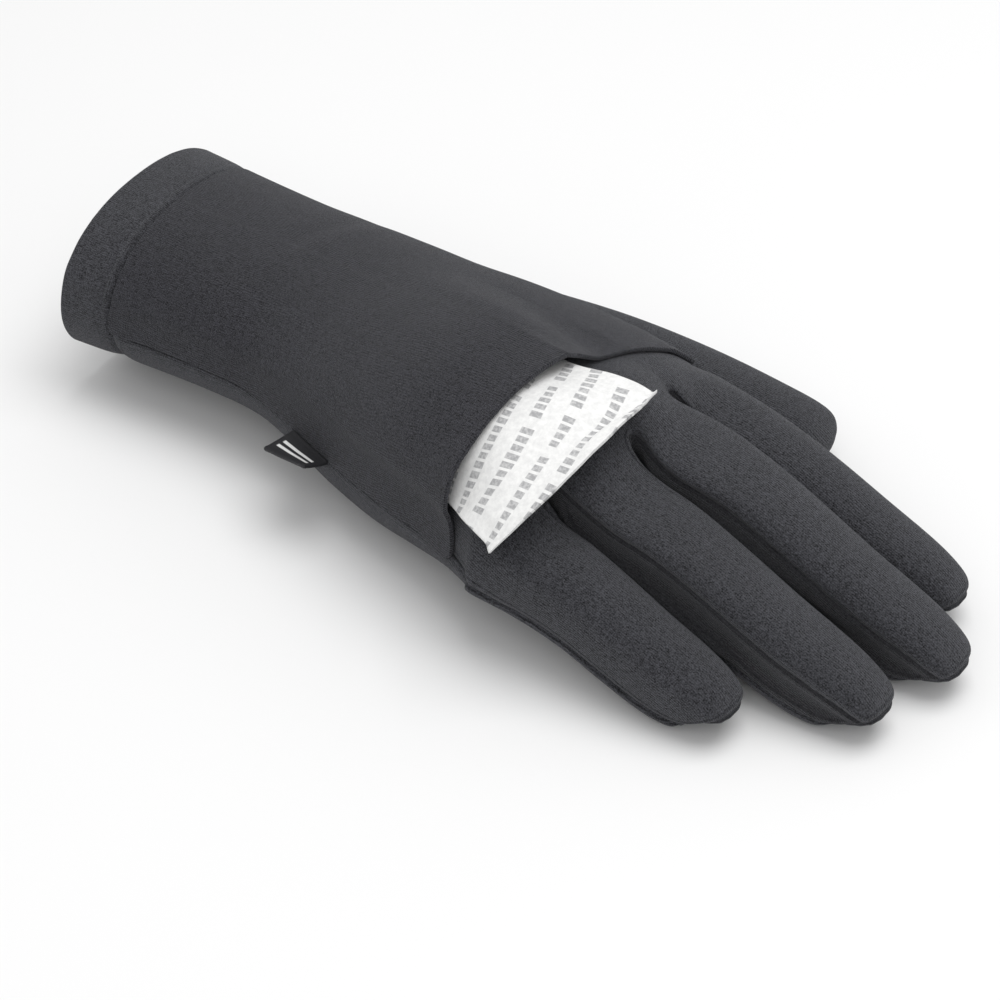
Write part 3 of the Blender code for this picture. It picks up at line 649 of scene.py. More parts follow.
def smoothed(bm, levels, through=1.0):
    """A smooth surface drawn through a cage's own points, as a new bmesh; it frees the cage.

    Each round moves the points against their error, by the share that through gives.
    """
    mesh = bpy.data.meshes.new("cage")
    bm.to_mesh(mesh)
    bm.free()
    holder = bpy.data.objects.new("cage", mesh)
    bpy.context.scene.collection.objects.link(holder)
    subdivide = holder.modifiers.new("smooth", "SUBSURF")
    subdivide.levels = 1
    goal = np.empty(len(mesh.vertices) * 3)
    mesh.vertices.foreach_get("co", goal)
    current = goal.copy()
    count = len(goal)
    for _ in range(FITTING_ROUNDS):
        graph = bpy.context.evaluated_depsgraph_get()
        reached = holder.evaluated_get(graph).data
        found = np.empty(len(reached.vertices) * 3)
        reached.vertices.foreach_get("co", found)
        current += through * (goal - found[:count])
        mesh.vertices.foreach_set("co", current)
        mesh.update()
    subdivide.levels = levels
    graph = bpy.context.evaluated_depsgraph_get()
    fine = bmesh.new()
    fine.from_mesh(holder.evaluated_get(graph).data)
    bpy.data.objects.remove(holder)
    bpy.data.meshes.remove(mesh)
    fine.normal_update()
    return fine


def smooth(t):
    """Rises from 0 at 0 to 1 at 1, gently at both ends."""
    t = min(max(t, 0.0), 1.0)
    return t * t * (3 - 2 * t)


def share_at(u, along):
    """The share of the palm's length at which the column at u is that far up the hand."""
    share = along / PALM_LENGTH
    for _ in range(SHARE_STEPS):
        share = along / PALM_LENGTH + root_share(u) * max(0.0, share) ** ROOT_FADE
    return share if along > 0 else along / CUFF_LENGTH


def round_back(u, along):
    """How far round the back the column at u lies from the middle one, that far up the hand."""
    columns = [u * k / MEASURING_STEPS for k in range(MEASURING_STEPS + 1)]
    places = [hand_point(column, share_at(column, along)) for column in columns]
    return math.copysign(sum((b - a).length for a, b in zip(places, places[1:])), u)


def back_at(across, along):
    """The point of the back that far round it and that far up the hand, and the way out there."""
    low, high = -SIDE_U, SIDE_U
    for _ in range(MEASURING_STEPS):
        u = (low + high) / 2
        if round_back(u, along) < across:
            low = u
        else:
            high = u
    share = share_at(u, along)
    left, right = max(u - NEARBY, -SIDE_U), min(u + NEARBY, SIDE_U)
    sideways = hand_point(right, share) - hand_point(left, share)
    ahead = hand_point(u, share + NEARBY) - hand_point(u, share - NEARBY)
    return hand_point(u, share), sideways.cross(ahead).normalized()


def pocket_edge(u):
    """How far up the hand the pocket's edge lies at u."""
    return between(POCKET_EDGE, u)[1] * PALM_LENGTH


def u_of(place):
    """How far across the back a place lies, from -1 at the thumb's side to 1."""
    row = row_at(place.y / (PALM_LENGTH if place.y > 0 else CUFF_LENGTH))
    return (place.x / KNUCKLE_WIDTH - row.middle) / (row.half * CORNER_SHARE)


def recess(place):
    """How far the back panel lies under the pocket there, fading out beyond the pocket's edge."""
    u = u_of(place)
    if u < POCKET_START_U:
        return 0.0
    beyond = place.y - pocket_edge(u)
    return (KNIT + LAYER_GAP) * (1 - smooth(beyond / POCKET_FALL))


def pouch_sides(back):
    """How far round the back the pouch's two sides lie, that far from its free end."""
    _, left, right = between(POUCH_SIDES, back / POUCH_LENGTH)
    return left * POUCH_WIDTH, right * POUCH_WIDTH


def pouch_slant(across):
    """How much further along the slanting end of the pouch is there than in its middle."""
    middle = sum(pouch_sides(0)) / 2
    return (across - middle) * math.tan(math.radians(POUCH_SLANT))


def in_pouch(across, along):
    """How far inside the pouch's nearer side a place on the back lies, and how far from its end."""
    back = POUCH_END_ALONG + pouch_slant(across) - along
    left, right = pouch_sides(back)
    return min(across - left, right - across), back


def pouch_rise(back):
    """How far the pouch stands off the hand, which grows towards its free end."""
    return POUCH_RISE * max(0.0, 1 - max(0.0, back) / POUCH_RISE_LENGTH) ** POUCH_RISE_CURVE


def pocket_lift(u, along):
    """How far the pouch pushes the pocket out there, over where it would lie flat."""
    aside, back = in_pouch(round_back(u, along), along)
    reach = POUCH_SEAL + POCKET_FALL
    held = smooth((aside + POCKET_FALL) / reach)
    run = POCKET_SLOPE + POUCH_TAPER
    held *= smooth((POUCH_LENGTH - back + POCKET_SLOPE) / run)
    held *= smooth((SIDE_U - abs(u)) / (SIDE_U - POCKET_FULL_U))
    return held * (POUCH_THICKNESS + 2 * LAYER_GAP + pouch_rise(back))


def grid(columns, rows):
    """A flat grid of faces, the layer for its inside, and its vertices row by row."""
    bm = bmesh.new()
    inner = bm.verts.layers.float_vector.new("inner")
    made = bmesh.ops.create_grid(bm, x_segments=columns, y_segments=rows, size=1.0)["verts"]
    ordered = sorted(made, key=lambda v: (round(v.co.y, 4), round(v.co.x, 4)))
    row_size = columns + 1
    return bm, inner, [ordered[r * row_size : (r + 1) * row_size] for r in range(rows + 1)]


def seal_steps(count, length):
    """A row of places along one side, from -0.5 to 0.5, with one in the middle of each seal."""
    seal = POUCH_SEAL / length
    middle = [-0.5 + seal + (1 - 2 * seal) * k / (count - 4) for k in range(count - 3)]
    return [-0.5, -0.5 + seal / 2] + middle + [0.5 - seal / 2, 0.5]


def lay_out(bm, rows, across, along):
    """Gives a grid its places in the cloth, which functions of its vertices' places return."""
    cloth = bm.loops.layers.uv.new("cloth")
    places = {}
    for r, row in enumerate(rows):
        for c, vertex in enumerate(row):
            places[vertex] = (across(r, c), along(r, c))
    for face in bm.faces:
        for loop in face.loops:
            loop[cloth].uv = places[loop.vert]


def settle(bm, shift):
    """Puts a sheet where the CAD model lies."""
    bmesh.ops.translate(bm, verts=bm.verts, vec=shift)


def add_piece(name, bm, finish, node=None):
    """Makes a piece of the object from a bmesh, which rides on the glove's one body."""
    mesh = bpy.data.meshes.new(name)
    bm.to_mesh(mesh)
    bm.free()
    mesh.materials.clear()
    mesh.materials.append(finish)
    mesh.polygons.foreach_set("material_index", [0] * len(mesh.polygons))
    mesh.shade_smooth()
    made = bpy.data.objects.new(name, mesh)
    bpy.context.scene.collection.objects.link(made)
    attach(made, "root")
    if node:
        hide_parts(node)
    return made


def give_thickness(piece, thickness):
    """Gives a sheet of cloth its inside, and rounds its edges."""
    wall = piece.modifiers.new("wall", "SOLIDIFY")
    wall.thickness = thickness
    wall.offset = -1.0
    wall.use_even_offset = False
    finer = piece.modifiers.new("round", "SUBSURF")
    finer.levels = finer.render_levels = 1


class Seams:
    """Lines in a sheet, such as those where the skin's panels meet, and what happens near them."""

    def __init__(self, edges):
        points = []
        for edge in edges:
            a, b = edge.verts
            for t in (0.0, 0.25, 0.5, 0.75):
                points.append((a.co.lerp(b.co, t), a.normal.lerp(b.normal, t).normalized()))
        self.normals = [normal for _, normal in points]
        self.tree = kdtree.KDTree(len(points))
        for number, (place, _) in enumerate(points):
            self.tree.insert(place, number)
        self.tree.balance()

    def distance(self, place):
        """How far a place is from the nearest seam."""
        return self.tree.find(place)[2]

    def freedom(self, place):
        """How freely the back panel can sink there: not at all at a seam on the thumb's side."""
        return smooth(self.distance(place) / POCKET_SIDE) if u_of(place) < 0 else 1.0

    def mark(self, bm):
        """Notes on each vertex how far it is from the nearest seam, for the materials."""
        edge = bm.verts.layers.float.new("edge")
        for vertex in bm.verts:
            vertex[edge] = self.distance(vertex.co)

    def draw_in(self, bm, hollow=0.0):
        """Pulls the cloth in along the seams, and in between them too where it is hollow."""
        edge = bm.verts.layers.float["edge"]
        for vertex in bm.verts:
            far = vertex[edge]
            number = self.tree.find(vertex.co)[1]
            fade = math.exp(-((far / SEAM_WIDTH) ** SEAM_FALL))
            way = vertex.normal.lerp(self.normals[number], fade).normalized()
            vertex.co -= way * (SEAM_DEPTH * fade + hollow * smooth(far / HOLLOW_REACH))


def add_border_rows(bm):
    """Adds narrow rows of faces along a sheet's border, so that its edge can roll."""
    faces = bm.faces[:]
    for width in BORDER_ROWS:
        bmesh.ops.inset_region(
            bm, faces=faces, thickness=width, use_boundary=True, use_even_offset=True,
            use_interpolate=True,
        )
    bm.normal_update()


def lap_border(bm):
    """Lets a panel's border reach a little past its seam, so that no light comes through."""
    moves = {}
    for vertex in bm.verts:
        if vertex.is_boundary:
            within = [e.other_vert(vertex).co for e in vertex.link_edges if not e.is_boundary]
            within = within or [face.calc_center_median() for face in vertex.link_faces]
            inner = sum(within, Vector()) / len(within)
            moves[vertex] = (vertex.co - inner).normalized() * SEAM_LAP
    for vertex, move in moves.items():
        vertex.co += move


def fold_height(place, start, end, width, height):
    """How far a fold that runs from start to end moves the cloth at a place."""
    line = end - start
    share = min(max((place - start).dot(line) / line.length_squared, 0.0), 1.0)
    off = (place - start - line * share).length / width
    taper = math.sin(math.pi * min(max(share, 0.04), 0.96)) ** 0.5
    return height * taper * math.exp(-(off**2))


def press_folds(bm, folds):
    """Presses a table of folds into a sheet over the back of the hand."""
    lines = []
    for fold in folds:
        start, end = hand_point(fold.u, fold.along), hand_point(fold.end_u, fold.end_along)
        lines.append((start, end, fold.width, fold.height))
    bm.normal_update()
    moves = {v: sum(fold_height(v.co, *line) for line in lines) for v in bm.verts}
    for vertex, move in moves.items():
        vertex.co += vertex.normal * move


def ripple(place, size, seed):
    """A soft random unevenness from -1 to 1, of that size, the same in each run."""
    return noise.noise(place / size + Vector((seed, 0, 0)))


def build_pocket(shift, finish):
    """The second layer of knit over the back, which the pouch pushes out."""
    columns = [u for u, _ in COLUMNS] + [(1 + SIDE_U) / 2, SIDE_U]
    bm, _, rows = grid(len(columns) - 1, POCKET_ROWS)
    start = HEM_DEPTH - CUFF_LENGTH
    places, lifts = {}, {}
    for number, row in enumerate(rows):
        for u, vertex in zip(columns, row):
            along = start + (pocket_edge(u) - start) * number / POCKET_ROWS
            vertex.co = hand_point(u, share_at(u, along))
            lifts[vertex] = pocket_lift(u, along)
            places[vertex] = (round_back(u, along), along)
    cloth = bm.loops.layers.uv.new("cloth")
    for face in bm.faces:
        for loop in face.loops:
            loop[cloth].uv = places[loop.vert]
    bm.normal_update()
    for vertex, lift in lifts.items():
        vertex.co += vertex.normal * lift
    fine = smoothed(bm, 2)
    press_folds(fine, POCKET_FOLDS)
    add_border_rows(fine)
    settle(fine, shift)
    piece = add_piece("pocket_panel_cloth", fine, finish, "pocket_panel")
    give_thickness(piece, KNIT)
    return piece


def build_pouch(shift, finish):
    """The sealed pouch of warming grains: full in the middle, flat at its crimped edges."""
    bm, inner, rows = grid(POUCH_COLUMNS, POUCH_ROWS)
    across_steps = seal_steps(POUCH_COLUMNS, POUCH_WIDTH)
    along_steps = seal_steps(POUCH_ROWS, POUCH_LENGTH)
    for lengthwise, row in zip(along_steps, rows):
        for sidewise, vertex in zip(across_steps, row):
            back = POUCH_LENGTH * (0.5 - lengthwise)
            left, right = pouch_sides(back)
            across = (left + right) / 2 + (right - left) * sidewise
            bow = POUCH_BOW * (1 - (2 * sidewise) ** 2) * (1 - back / POUCH_LENGTH)
            along = POUCH_END_ALONG + pouch_slant(across) - back + bow
            place, out = back_at(across, along)
            low = LAYER_GAP - recess(place) + pouch_rise(back)
            edge = min(across - left, right - across, back, POUCH_LENGTH - back)
            full = smooth(edge / POUCH_FLAT) * smooth((POUCH_LENGTH - back) / POUCH_TAPER)
            thick = POUCH_EDGE + (POUCH_THICKNESS - POUCH_EDGE) * full
            vertex[inner] = place + out * low
            vertex.co = place + out * (low + thick)
    lay_out(
        bm, rows,
        lambda r, c: across_steps[c] * POUCH_WIDTH,
        lambda r, c: (0.5 - along_steps[r]) * POUCH_LENGTH,
    )
    made = bmesh.ops.extrude_face_region(bm, geom=bm.faces[:], use_keep_orig=True)
    for vertex in made["geom"]:
        if isinstance(vertex, bmesh.types.BMVert):
            vertex.co = vertex[inner]
    sharp = bm.edges.layers.float.new("crease_edge")
    corner = bm.verts.layers.float.new("crease_vert")
    bmesh.ops.recalc_face_normals(bm, faces=bm.faces)
    for edge in bm.edges:
        a, b = edge.link_faces
        if a.normal.angle(b.normal) > math.radians(POUCH_CREASE_ANGLE):
            edge[sharp] = 1.0
    for vertex in bm.verts:
        if sum(edge[sharp] for edge in vertex.link_edges) > 2:
            vertex[corner] = 1.0
    fine = smoothed(bm, 3, 0.9)
    cloth = fine.loops.layers.uv["cloth"]
    for vertex in fine.verts:
        u, v = vertex.link_loops[0][cloth].uv
        edge = min(POUCH_WIDTH / 2 - abs(u), v, POUCH_LENGTH - v)
        near = math.exp(-((max(edge - PUCKER_START, 0) / PUCKER_FADE) ** 2))
        pucker = PUCKER_HEIGHT * near * ripple(vertex.co, PUCKER_SIZE, 3)
        within = smooth((edge - POUCH_SEAL) / LUMP_FADE)
        lump = LUMP_HEIGHT * within * ripple(vertex.co, LUMP_SIZE, 7)
        vertex.co.z += pucker + lump
    settle(fine, shift)
    piece = add_piece("warmer_pouch", fine, finish, "warmer_packet")
    return piece


def build_tab(shift, finish):
    """The woven tab, folded double, that stands out of the side seam."""
    bm, inner, rows = grid(TAB_COLUMNS, TAB_ROWS)
    for number, row in enumerate(rows):
        out = number / TAB_ROWS
        for place, vertex in enumerate(row):
            share = place / TAB_COLUMNS
            end = TabEnd(*(a + (b - a) * share for a, b in zip(TAB_NEAR, TAB_FAR)))
            seam = side_point(1, share_at(1, end.along))
            curl = Vector((end.out * out, -end.back * out, end.up * out**TAB_CURL))
            plies = TAB_THICKNESS * (1.0 - TAB_PINCH * math.sin(math.pi * out) ** 2)
            middle = seam + Vector((SEAM_GAP, 0, 0)) + curl
            vertex.co = middle + Vector((0, 0, plies / 2))
            vertex[inner] = middle - Vector((0, 0, plies / 2))
    lay_out(bm, rows, lambda r, c: c / TAB_COLUMNS, lambda r, c: r / TAB_ROWS)
    made = bmesh.ops.extrude_face_region(bm, geom=bm.faces[:], use_keep_orig=True)
    for vertex in made["geom"]:
        if isinstance(vertex, bmesh.types.BMVert):
            vertex.co = vertex[inner]
    bmesh.ops.recalc_face_normals(bm, faces=bm.faces)
    fine = smoothed(bm, 2, 0.8)
    settle(fine, shift)
    return add_piece("side_tab", fine, finish, "side_label")


def node_group(name, outputs, inputs=()):
    """An empty shader group with float sockets, and colours where the name says so."""
    made = bpy.data.node_groups.new(name, "ShaderNodeTree")
    for title, kind, value in inputs:
        socket = made.interface.new_socket(name=title, in_out="INPUT", socket_type=kind)
        if value is not None:
            socket.default_value = value
    for title, kind in outputs:
        made.interface.new_socket(name=title, in_out="OUTPUT", socket_type=kind)
    return made


class Nodes:
    """Short calls for adding linked nodes to a tree."""

    def __init__(self, tree):
        self.tree = tree

    def add(self, kind, **settings):
        """A new node with those settings."""
        made = self.tree.nodes.new(kind)
        for key, value in settings.items():
            setattr(made, key, value)
        return made

    def put(self, socket, value):
        """Links another node's output to a socket, or sets the socket's own value."""
        if isinstance(value, bpy.types.NodeSocket):
            self.tree.links.new(value, socket)
        else:
            socket.default_value = value

    def math(self, operation, a, b=0.0, c=0.0, clamp=False):
        """A sum of up to three values."""
        made = self.add("ShaderNodeMath", operation=operation, use_clamp=clamp)
        for socket, value in zip(made.inputs, (a, b, c)):
            self.put(socket, value)
        return made.outputs[0]

    def noise(self, vector, scale, detail=2.0, roughness=0.5):
        """Cloudy noise, around 0.5."""
        made = self.add("ShaderNodeTexNoise")
        self.put(made.inputs["Vector"], vector)
        made.inputs["Scale"].default_value = scale
        made.inputs["Detail"].default_value = detail
        made.inputs["Roughness"].default_value = roughness
        return made.outputs["Fac"]

    def range(self, value, low, high, to_low=0.0, to_high=1.0):
        """A value between low and high, carried over to another range and held within it."""
        made = self.add("ShaderNodeMapRange", clamp=True)
        for socket, given in zip(made.inputs, (value, low, high, to_low, to_high)):
            self.put(socket, given)
        return made.outputs[0]

    def mix(self, factor, a, b):
        """A colour between two others."""
        made = self.add("ShaderNodeMix", data_type="RGBA")
        self.put(made.inputs["Factor"], factor)
        self.put(made.inputs[6], a)
        self.put(made.inputs[7], b)
        return made.outputs[2]


def knit_group():
    """Jersey's ribs and loops: a height, and painted groove shade with random yarn tone."""
    group = node_group(
        "jersey_knit",
        [("Height", "NodeSocketFloat"), ("Shade", "NodeSocketFloat")],
    )
    n = Nodes(group)
    uv = n.add("ShaderNodeUVMap", uv_map="cloth").outputs["UV"]
    spot = n.add("ShaderNodeTexCoord").outputs["Object"]
    split = n.add("ShaderNodeSeparateXYZ")
    n.put(split.inputs[0], uv)
    wander = n.math("MULTIPLY", n.math("SUBTRACT", n.noise(spot, 160.0), 0.5), RIB_WANDER)
    across = n.math("DIVIDE", n.math("ADD", split.outputs[0], wander), WALE)
    along = n.math("DIVIDE", split.outputs[1], COURSE)
    inside = n.math("ABSOLUTE", n.math("SUBTRACT", n.math("FRACT", across), 0.5))
    rib = n.math("COSINE", n.math("MULTIPLY", n.math("SUBTRACT", across, 0.5), 2 * math.pi))
    rib = n.math("MULTIPLY_ADD", rib, 0.5, 0.5)
    slant = n.math("MULTIPLY_ADD", inside, LOOP_SLANT, along)
    cell = n.add("ShaderNodeCombineXYZ")
    n.put(cell.inputs[0], n.math("FLOOR", across))
    n.put(cell.inputs[1], n.math("FLOOR", slant))
    yarn = n.add("ShaderNodeTexWhiteNoise", noise_dimensions="2D")
    n.put(yarn.inputs["Vector"], cell.outputs[0])
    yarn = yarn.outputs["Value"]
    loop = n.math("COSINE", n.math("MULTIPLY", slant, 2 * math.pi))
    loop = n.math("MULTIPLY_ADD", loop, 0.5, 0.5)
    grain = n.noise(spot, 2600.0, 1.0)
    height = n.math("ADD", n.math("MULTIPLY", rib, 0.60), n.math("MULTIPLY", loop, 0.28))
    height = n.math("MULTIPLY_ADD", grain, 0.35, n.math("MULTIPLY_ADD", yarn, 0.35, height))
    # Shade is painted shade: the colour is darker in the grooves between the ribs and the loops. It
    # is scaled by each loop's yarn, which is lighter or darker at random.
    shade = n.math("MULTIPLY_ADD", rib, 0.50, n.math("MULTIPLY", loop, 0.30))
    shade = n.math("MULTIPLY", shade, n.math("MULTIPLY_ADD", yarn, 1.7, 0.20), clamp=True)
    ends = n.add("NodeGroupOutput")
    n.put(ends.inputs["Height"], height)
    n.put(ends.inputs["Shade"], shade)
    return group


def fuzz_group():
    """Loose fibres, mottled yarn and uneven dye, from the place in space: masks from 0 to 1."""
    masks = [(title, "NodeSocketFloat") for title in ("Fibres", "Mottle", "Dye")]
    group = node_group("fuzz", masks)
    n = Nodes(group)
    spot = n.add("ShaderNodeTexCoord").outputs["Object"]
    stretch = n.add("ShaderNodeVectorMath", operation="MULTIPLY")
    n.put(stretch.inputs[0], spot)
    stretch.inputs[1].default_value = (1.0, 0.35, 1.0)
    fibres = n.range(n.noise(stretch.outputs[0], 1700.0, 3.0, 0.7), 0.42, 0.72)
    specks = n.range(n.noise(spot, 700.0, 0.0), 0.78, 0.84)
    mottle = n.range(n.noise(spot, 2700.0, 2.0, 0.7), 0.44, 0.58)
    dye = n.noise(spot, 45.0, 4.0, 0.6)
    ends = n.add("NodeGroupOutput")
    n.put(ends.inputs["Fibres"], n.math("MAXIMUM", fibres, n.math("MULTIPLY", specks, 0.7)))
    n.put(ends.inputs["Mottle"], mottle)
    n.put(ends.inputs["Dye"], n.range(dye, 0.3, 0.7))
    return group


def new_material(name, colour, roughness):
    """A plain material, its shader, and short calls for its nodes."""
    made = bpy.data.materials.new(name)
    made.use_nodes = True
    shader = made.node_tree.nodes["Principled BSDF"]
    shader.inputs["Base Color"].default_value = (*colour, 1.0)
    shader.inputs["Roughness"].default_value = roughness
    shader.inputs["Specular IOR Level"].default_value = 0.25
    return made, shader, Nodes(made.node_tree)


def knit_material(jersey, knit, fuzz):
    """Matt black jersey: ribs, loops, uneven dye, pale fibres and a soft sheen at the rim."""
    name, dark, light = jersey
    made, shader, n = new_material(name, dark, 0.92)
    weave = n.add("ShaderNodeGroup", node_tree=knit)
    loose = n.add("ShaderNodeGroup", node_tree=fuzz)
    # The knit's Shade paints shade into the grooves of the ribs and loops. Mottle and dye add random
    # tone.
    tone = n.math("MULTIPLY", weave.outputs["Shade"], 0.45)
    tone = n.math("MULTIPLY_ADD", loose.outputs["Mottle"], 0.75, tone)
    dyed = n.range(loose.outputs["Dye"], 0.0, 1.0, 0.85, 1.05)
    tone = n.math("MULTIPLY", tone, dyed, clamp=True)
    knit_colour_with_painted_shade = n.mix(tone, (*dark, 1), (*light, 1))
    pale = tuple(min(1.0, FIBRE_PALENESS * c) for c in light)
    fibres = n.math("MULTIPLY", loose.outputs["Fibres"], FIBRE_SHARE)
    n.put(shader.inputs["Base Color"], n.mix(fibres, knit_colour_with_painted_shade, (*pale, 1)))
    bump = n.add("ShaderNodeBump")
    bump.inputs["Strength"].default_value = 0.8
    bump.inputs["Distance"].default_value = RELIEF
    height = n.math("MULTIPLY_ADD", loose.outputs["Mottle"], 0.6, weave.outputs["Height"])
    n.put(bump.inputs["Height"], height)
    edge = n.add("ShaderNodeAttribute", attribute_name="edge").outputs["Fac"]
    ply = n.math("MULTIPLY", n.range(edge, 0.0004, 0.0009), n.range(edge, 0.0026, 0.0019))
    seam = n.add("ShaderNodeBump")
    seam.inputs["Strength"].default_value = 0.8
    seam.inputs["Distance"].default_value = PLY_RELIEF
    n.put(seam.inputs["Height"], ply)
    n.put(seam.inputs["Normal"], bump.outputs["Normal"])
    n.put(shader.inputs["Normal"], seam.outputs["Normal"])
    shader.inputs["Sheen Weight"].default_value = SHEEN
    shader.inputs["Sheen Roughness"].default_value = 0.45
    shader.inputs["Sheen Tint"].default_value = (0.62, 0.63, 0.66, 1)
    return made


def pouch_material():
    """White nonwoven cloth with rows of pale grey printed dashes."""
    made, shader, n = new_material("pouch_nonwoven", (0.80, 0.80, 0.79), 0.72)
    spot = n.add("ShaderNodeTexCoord").outputs["Object"]
    uv = n.add("ShaderNodeUVMap", uv_map="cloth").outputs["UV"]
    split = n.add("ShaderNodeSeparateXYZ")
    n.put(split.inputs[0], uv)
    turn = math.radians(PRINT_TURN)
    level = n.math("MULTIPLY", split.outputs[0], math.cos(turn))
    level = n.math("MULTIPLY_ADD", split.outputs[1], math.sin(turn), level)
    rise = n.math("MULTIPLY", split.outputs[0], -math.sin(turn))
    rise = n.math("MULTIPLY_ADD", split.outputs[1], math.cos(turn), rise)
    row = n.math("DIVIDE", rise, PRINT_ROW)
    number = n.math("FLOOR", row)
    steps = n.math("MULTIPLY_ADD", number, ROW_SHIFT, n.math("DIVIDE", level, PRINT_STEP))
    cell = n.add("ShaderNodeCombineXYZ")
    n.put(cell.inputs[0], n.math("FLOOR", steps))
    n.put(cell.inputs[1], number)
    chance = n.add("ShaderNodeTexWhiteNoise", noise_dimensions="2D")
    n.put(chance.inputs["Vector"], cell.outputs[0])
    chance = chance.outputs["Value"]
    off = n.math("ABSOLUTE", n.math("SUBTRACT", n.math("FRACT", row), 0.5))
    off = n.math("MULTIPLY_ADD", chance, -0.08, off)
    band = n.range(off, 0.15, 0.12)
    aside = n.math("ABSOLUTE", n.math("SUBTRACT", n.math("FRACT", steps), 0.5))
    printed = n.math("GREATER_THAN", chance, GAP_CHANCE)
    bar = n.math("MULTIPLY", n.range(aside, 0.37, 0.31), printed)
    patchy = n.range(n.noise(spot, 1400.0, 2.0), 0.35, 0.6, 0.5, 1.0)
    ink = n.math("MULTIPLY", n.math("MULTIPLY", band, bar), patchy)
    fibres = n.noise(spot, 700.0, 4.0, 0.65)
    cloth = n.mix(n.range(fibres, 0.35, 0.65), (0.74, 0.74, 0.735, 1), (0.86, 0.86, 0.85, 1))
    n.put(shader.inputs["Base Color"], n.mix(n.math("MULTIPLY", ink, 0.85), cloth, INK))
    bump = n.add("ShaderNodeBump")
    bump.inputs["Strength"].default_value = 0.5
    bump.inputs["Distance"].default_value = 0.00015
    n.put(bump.inputs["Height"], fibres)
    n.put(shader.inputs["Normal"], bump.outputs["Normal"])
    shader.inputs["Subsurface Weight"].default_value = 0.08
    shader.inputs["Subsurface Radius"].default_value = (0.001, 0.001, 0.001)
    return made


def tab_material():
    """Tight black satin tape with two white woven stripes across it."""
    made, shader, n = new_material("tab_tape", (0.015, 0.015, 0.017), 0.55)
    uv = n.add("ShaderNodeUVMap", uv_map="cloth").outputs["UV"]
    split = n.add("ShaderNodeSeparateXYZ")
    n.put(split.inputs[0], uv)
    first, second = (
        n.range(n.math("ABSOLUTE", n.math("SUBTRACT", split.outputs[1], where)), *STRIPE_EDGE)
        for where in STRIPES
    )
    margin = n.range(n.math("ABSOLUTE", n.math("SUBTRACT", split.outputs[0], 0.5)), 0.40, 0.38)
    stripes = n.math("MULTIPLY", n.math("MAXIMUM", first, second), margin)
    threads = n.math("SINE", n.math("MULTIPLY", split.outputs[0], 2 * math.pi * TAB_THREADS))
    picks = n.math("SINE", n.math("MULTIPLY", split.outputs[1], 2 * math.pi * TAB_PICKS))
    weave = n.math("MULTIPLY_ADD", n.math("MULTIPLY", threads, picks), 0.5, 0.5)
    black = n.mix(weave, (0.012, 0.012, 0.014, 1), (0.028, 0.028, 0.031, 1))
    white = n.mix(weave, (0.60, 0.60, 0.60, 1), (0.82, 0.82, 0.81, 1))
    n.put(shader.inputs["Base Color"], n.mix(stripes, black, white))
    bump = n.add("ShaderNodeBump")
    bump.inputs["Strength"].default_value = 0.6
    bump.inputs["Distance"].default_value = 0.00008
    n.put(bump.inputs["Height"], weave)
    n.put(shader.inputs["Normal"], bump.outputs["Normal"])
    return made


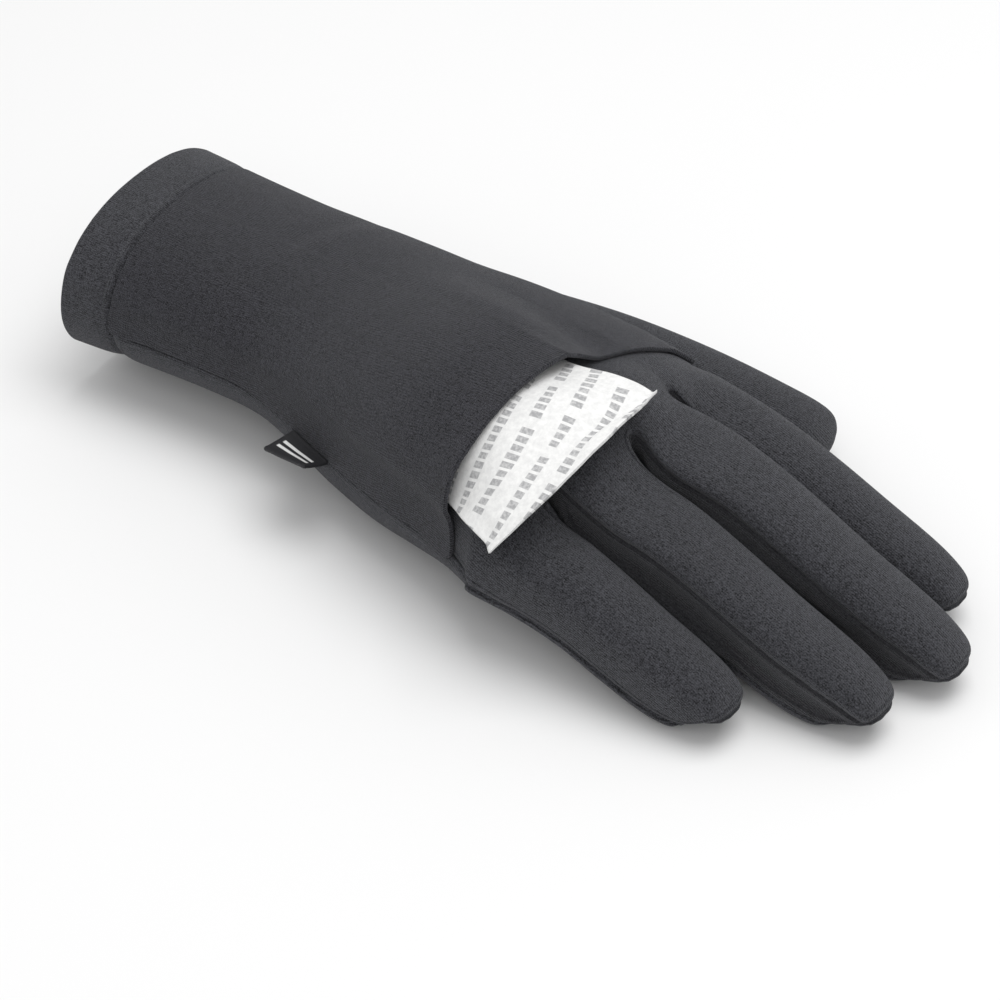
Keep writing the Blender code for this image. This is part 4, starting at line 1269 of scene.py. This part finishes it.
def stage(shift):
    """The camera, the pale floor and the soft studio light."""
    camera = bpy.data.objects.new("camera", bpy.data.cameras.new("camera"))
    bpy.context.scene.collection.objects.link(camera)
    turn, lift = math.radians(CAMERA_AZIMUTH), math.radians(CAMERA_ELEVATION)
    level = Vector((math.sin(turn), -math.cos(turn), 0))
    back = level * math.cos(lift) + Vector((0, 0, math.sin(lift)))
    camera.location = Vector(CAMERA_TARGET) + shift + back * CAMERA_DISTANCE
    camera.rotation_mode = "QUATERNION"
    camera.rotation_quaternion = (-back).to_track_quat("-Z", "Y")
    camera.data.sensor_width = 36.0
    camera.data.lens = CAMERA_LENS
    camera.data.clip_start = 0.01
    bpy.context.scene.camera = camera

    bm = bmesh.new()
    bmesh.ops.create_grid(bm, x_segments=1, y_segments=1, size=FLOOR_SIZE)
    mesh = bpy.data.meshes.new("floor")
    bm.to_mesh(mesh)
    bm.free()
    floor = bpy.data.objects.new("floor", mesh)
    bpy.context.scene.collection.objects.link(floor)
    paper, shader, n = new_material("floor_paper", (0.86, 0.86, 0.86), 0.9)
    spot = n.add("ShaderNodeTexCoord").outputs["Object"]
    tone = n.range(n.noise(spot, 3.0, 3.0), 0.3, 0.7)
    grey = n.mix(tone, (0.855, 0.855, 0.855, 1), (0.87, 0.87, 0.87, 1))
    n.put(shader.inputs["Base Color"], grey)
    mesh.materials.append(paper)

    world = bpy.data.worlds.new("studio")
    bpy.context.scene.world = world
    world.use_nodes = True
    world.node_tree.nodes["Background"].inputs["Color"].default_value = (1, 1, 1, 1)
    world.node_tree.nodes["Background"].inputs["Strength"].default_value = WORLD_STRENGTH
    for name, place, size, power in LIGHTS:
        lamp = bpy.data.objects.new(name, bpy.data.lights.new(name, "AREA"))
        lamp.data.size = size
        lamp.data.energy = power
        lamp.location = Vector(place)
        lamp.rotation_mode = "QUATERNION"
        lamp.rotation_quaternion = Vector(place).to_track_quat("Z", "Y")
        bpy.context.scene.collection.objects.link(lamp)
    bpy.context.scene.view_settings.view_transform = "Standard"


def main():
    """Dresses each node of the CAD model."""
    skin = build_skin()
    spread = [[v.co[axis] for v in skin.verts] for axis in (0, 1)]
    shift = Vector([-(min(s) + max(s)) / 2 for s in spread] + [0.0])
    stage(shift)

    knit, fuzz = knit_group(), fuzz_group()
    body = knit_material(MAIN_JERSEY, knit, fuzz)
    # inner is the fourchettes' jersey, darker as painted shade in the gaps between the fingers.
    inner = knit_material(GAP_SHADE_JERSEY, knit, fuzz)
    outer = knit_material(POCKET_JERSEY, knit, fuzz)

    fine = smoothed(skin, 2)
    seams = Seams([e for e in fine.edges if len({f.material_index for f in e.link_faces}) > 1])
    under = {v.index: recess(v.co) * seams.freedom(v.co) for v in fine.verts}
    for name in PANELS:
        bm = fine.copy()
        bm.normal_update()
        if name == BACK:
            for vertex in bm.verts:
                vertex.co -= vertex.normal * under[vertex.index]
        number = PANELS.index(name)
        others = [f for f in bm.faces if f.material_index != number]
        bmesh.ops.delete(bm, geom=others, context="FACES")
        add_border_rows(bm)
        seams.mark(bm)
        seams.draw_in(bm, HOLLOW_DEPTH if name in FOURCHETTES else 0.0)
        lap_border(bm)
        settle(bm, shift)
        # The fourchettes take the darker jersey: painted shade between the fingers.
        finish = inner if name in FOURCHETTES else body
        piece = add_piece(name + "_cloth", bm, finish, name)
        give_thickness(piece, 2 * KNIT if name == HEM else KNIT)
    fine.free()
    build_pocket(shift, outer)
    build_pouch(shift, pouch_material())
    build_tab(shift, tab_material())


main()
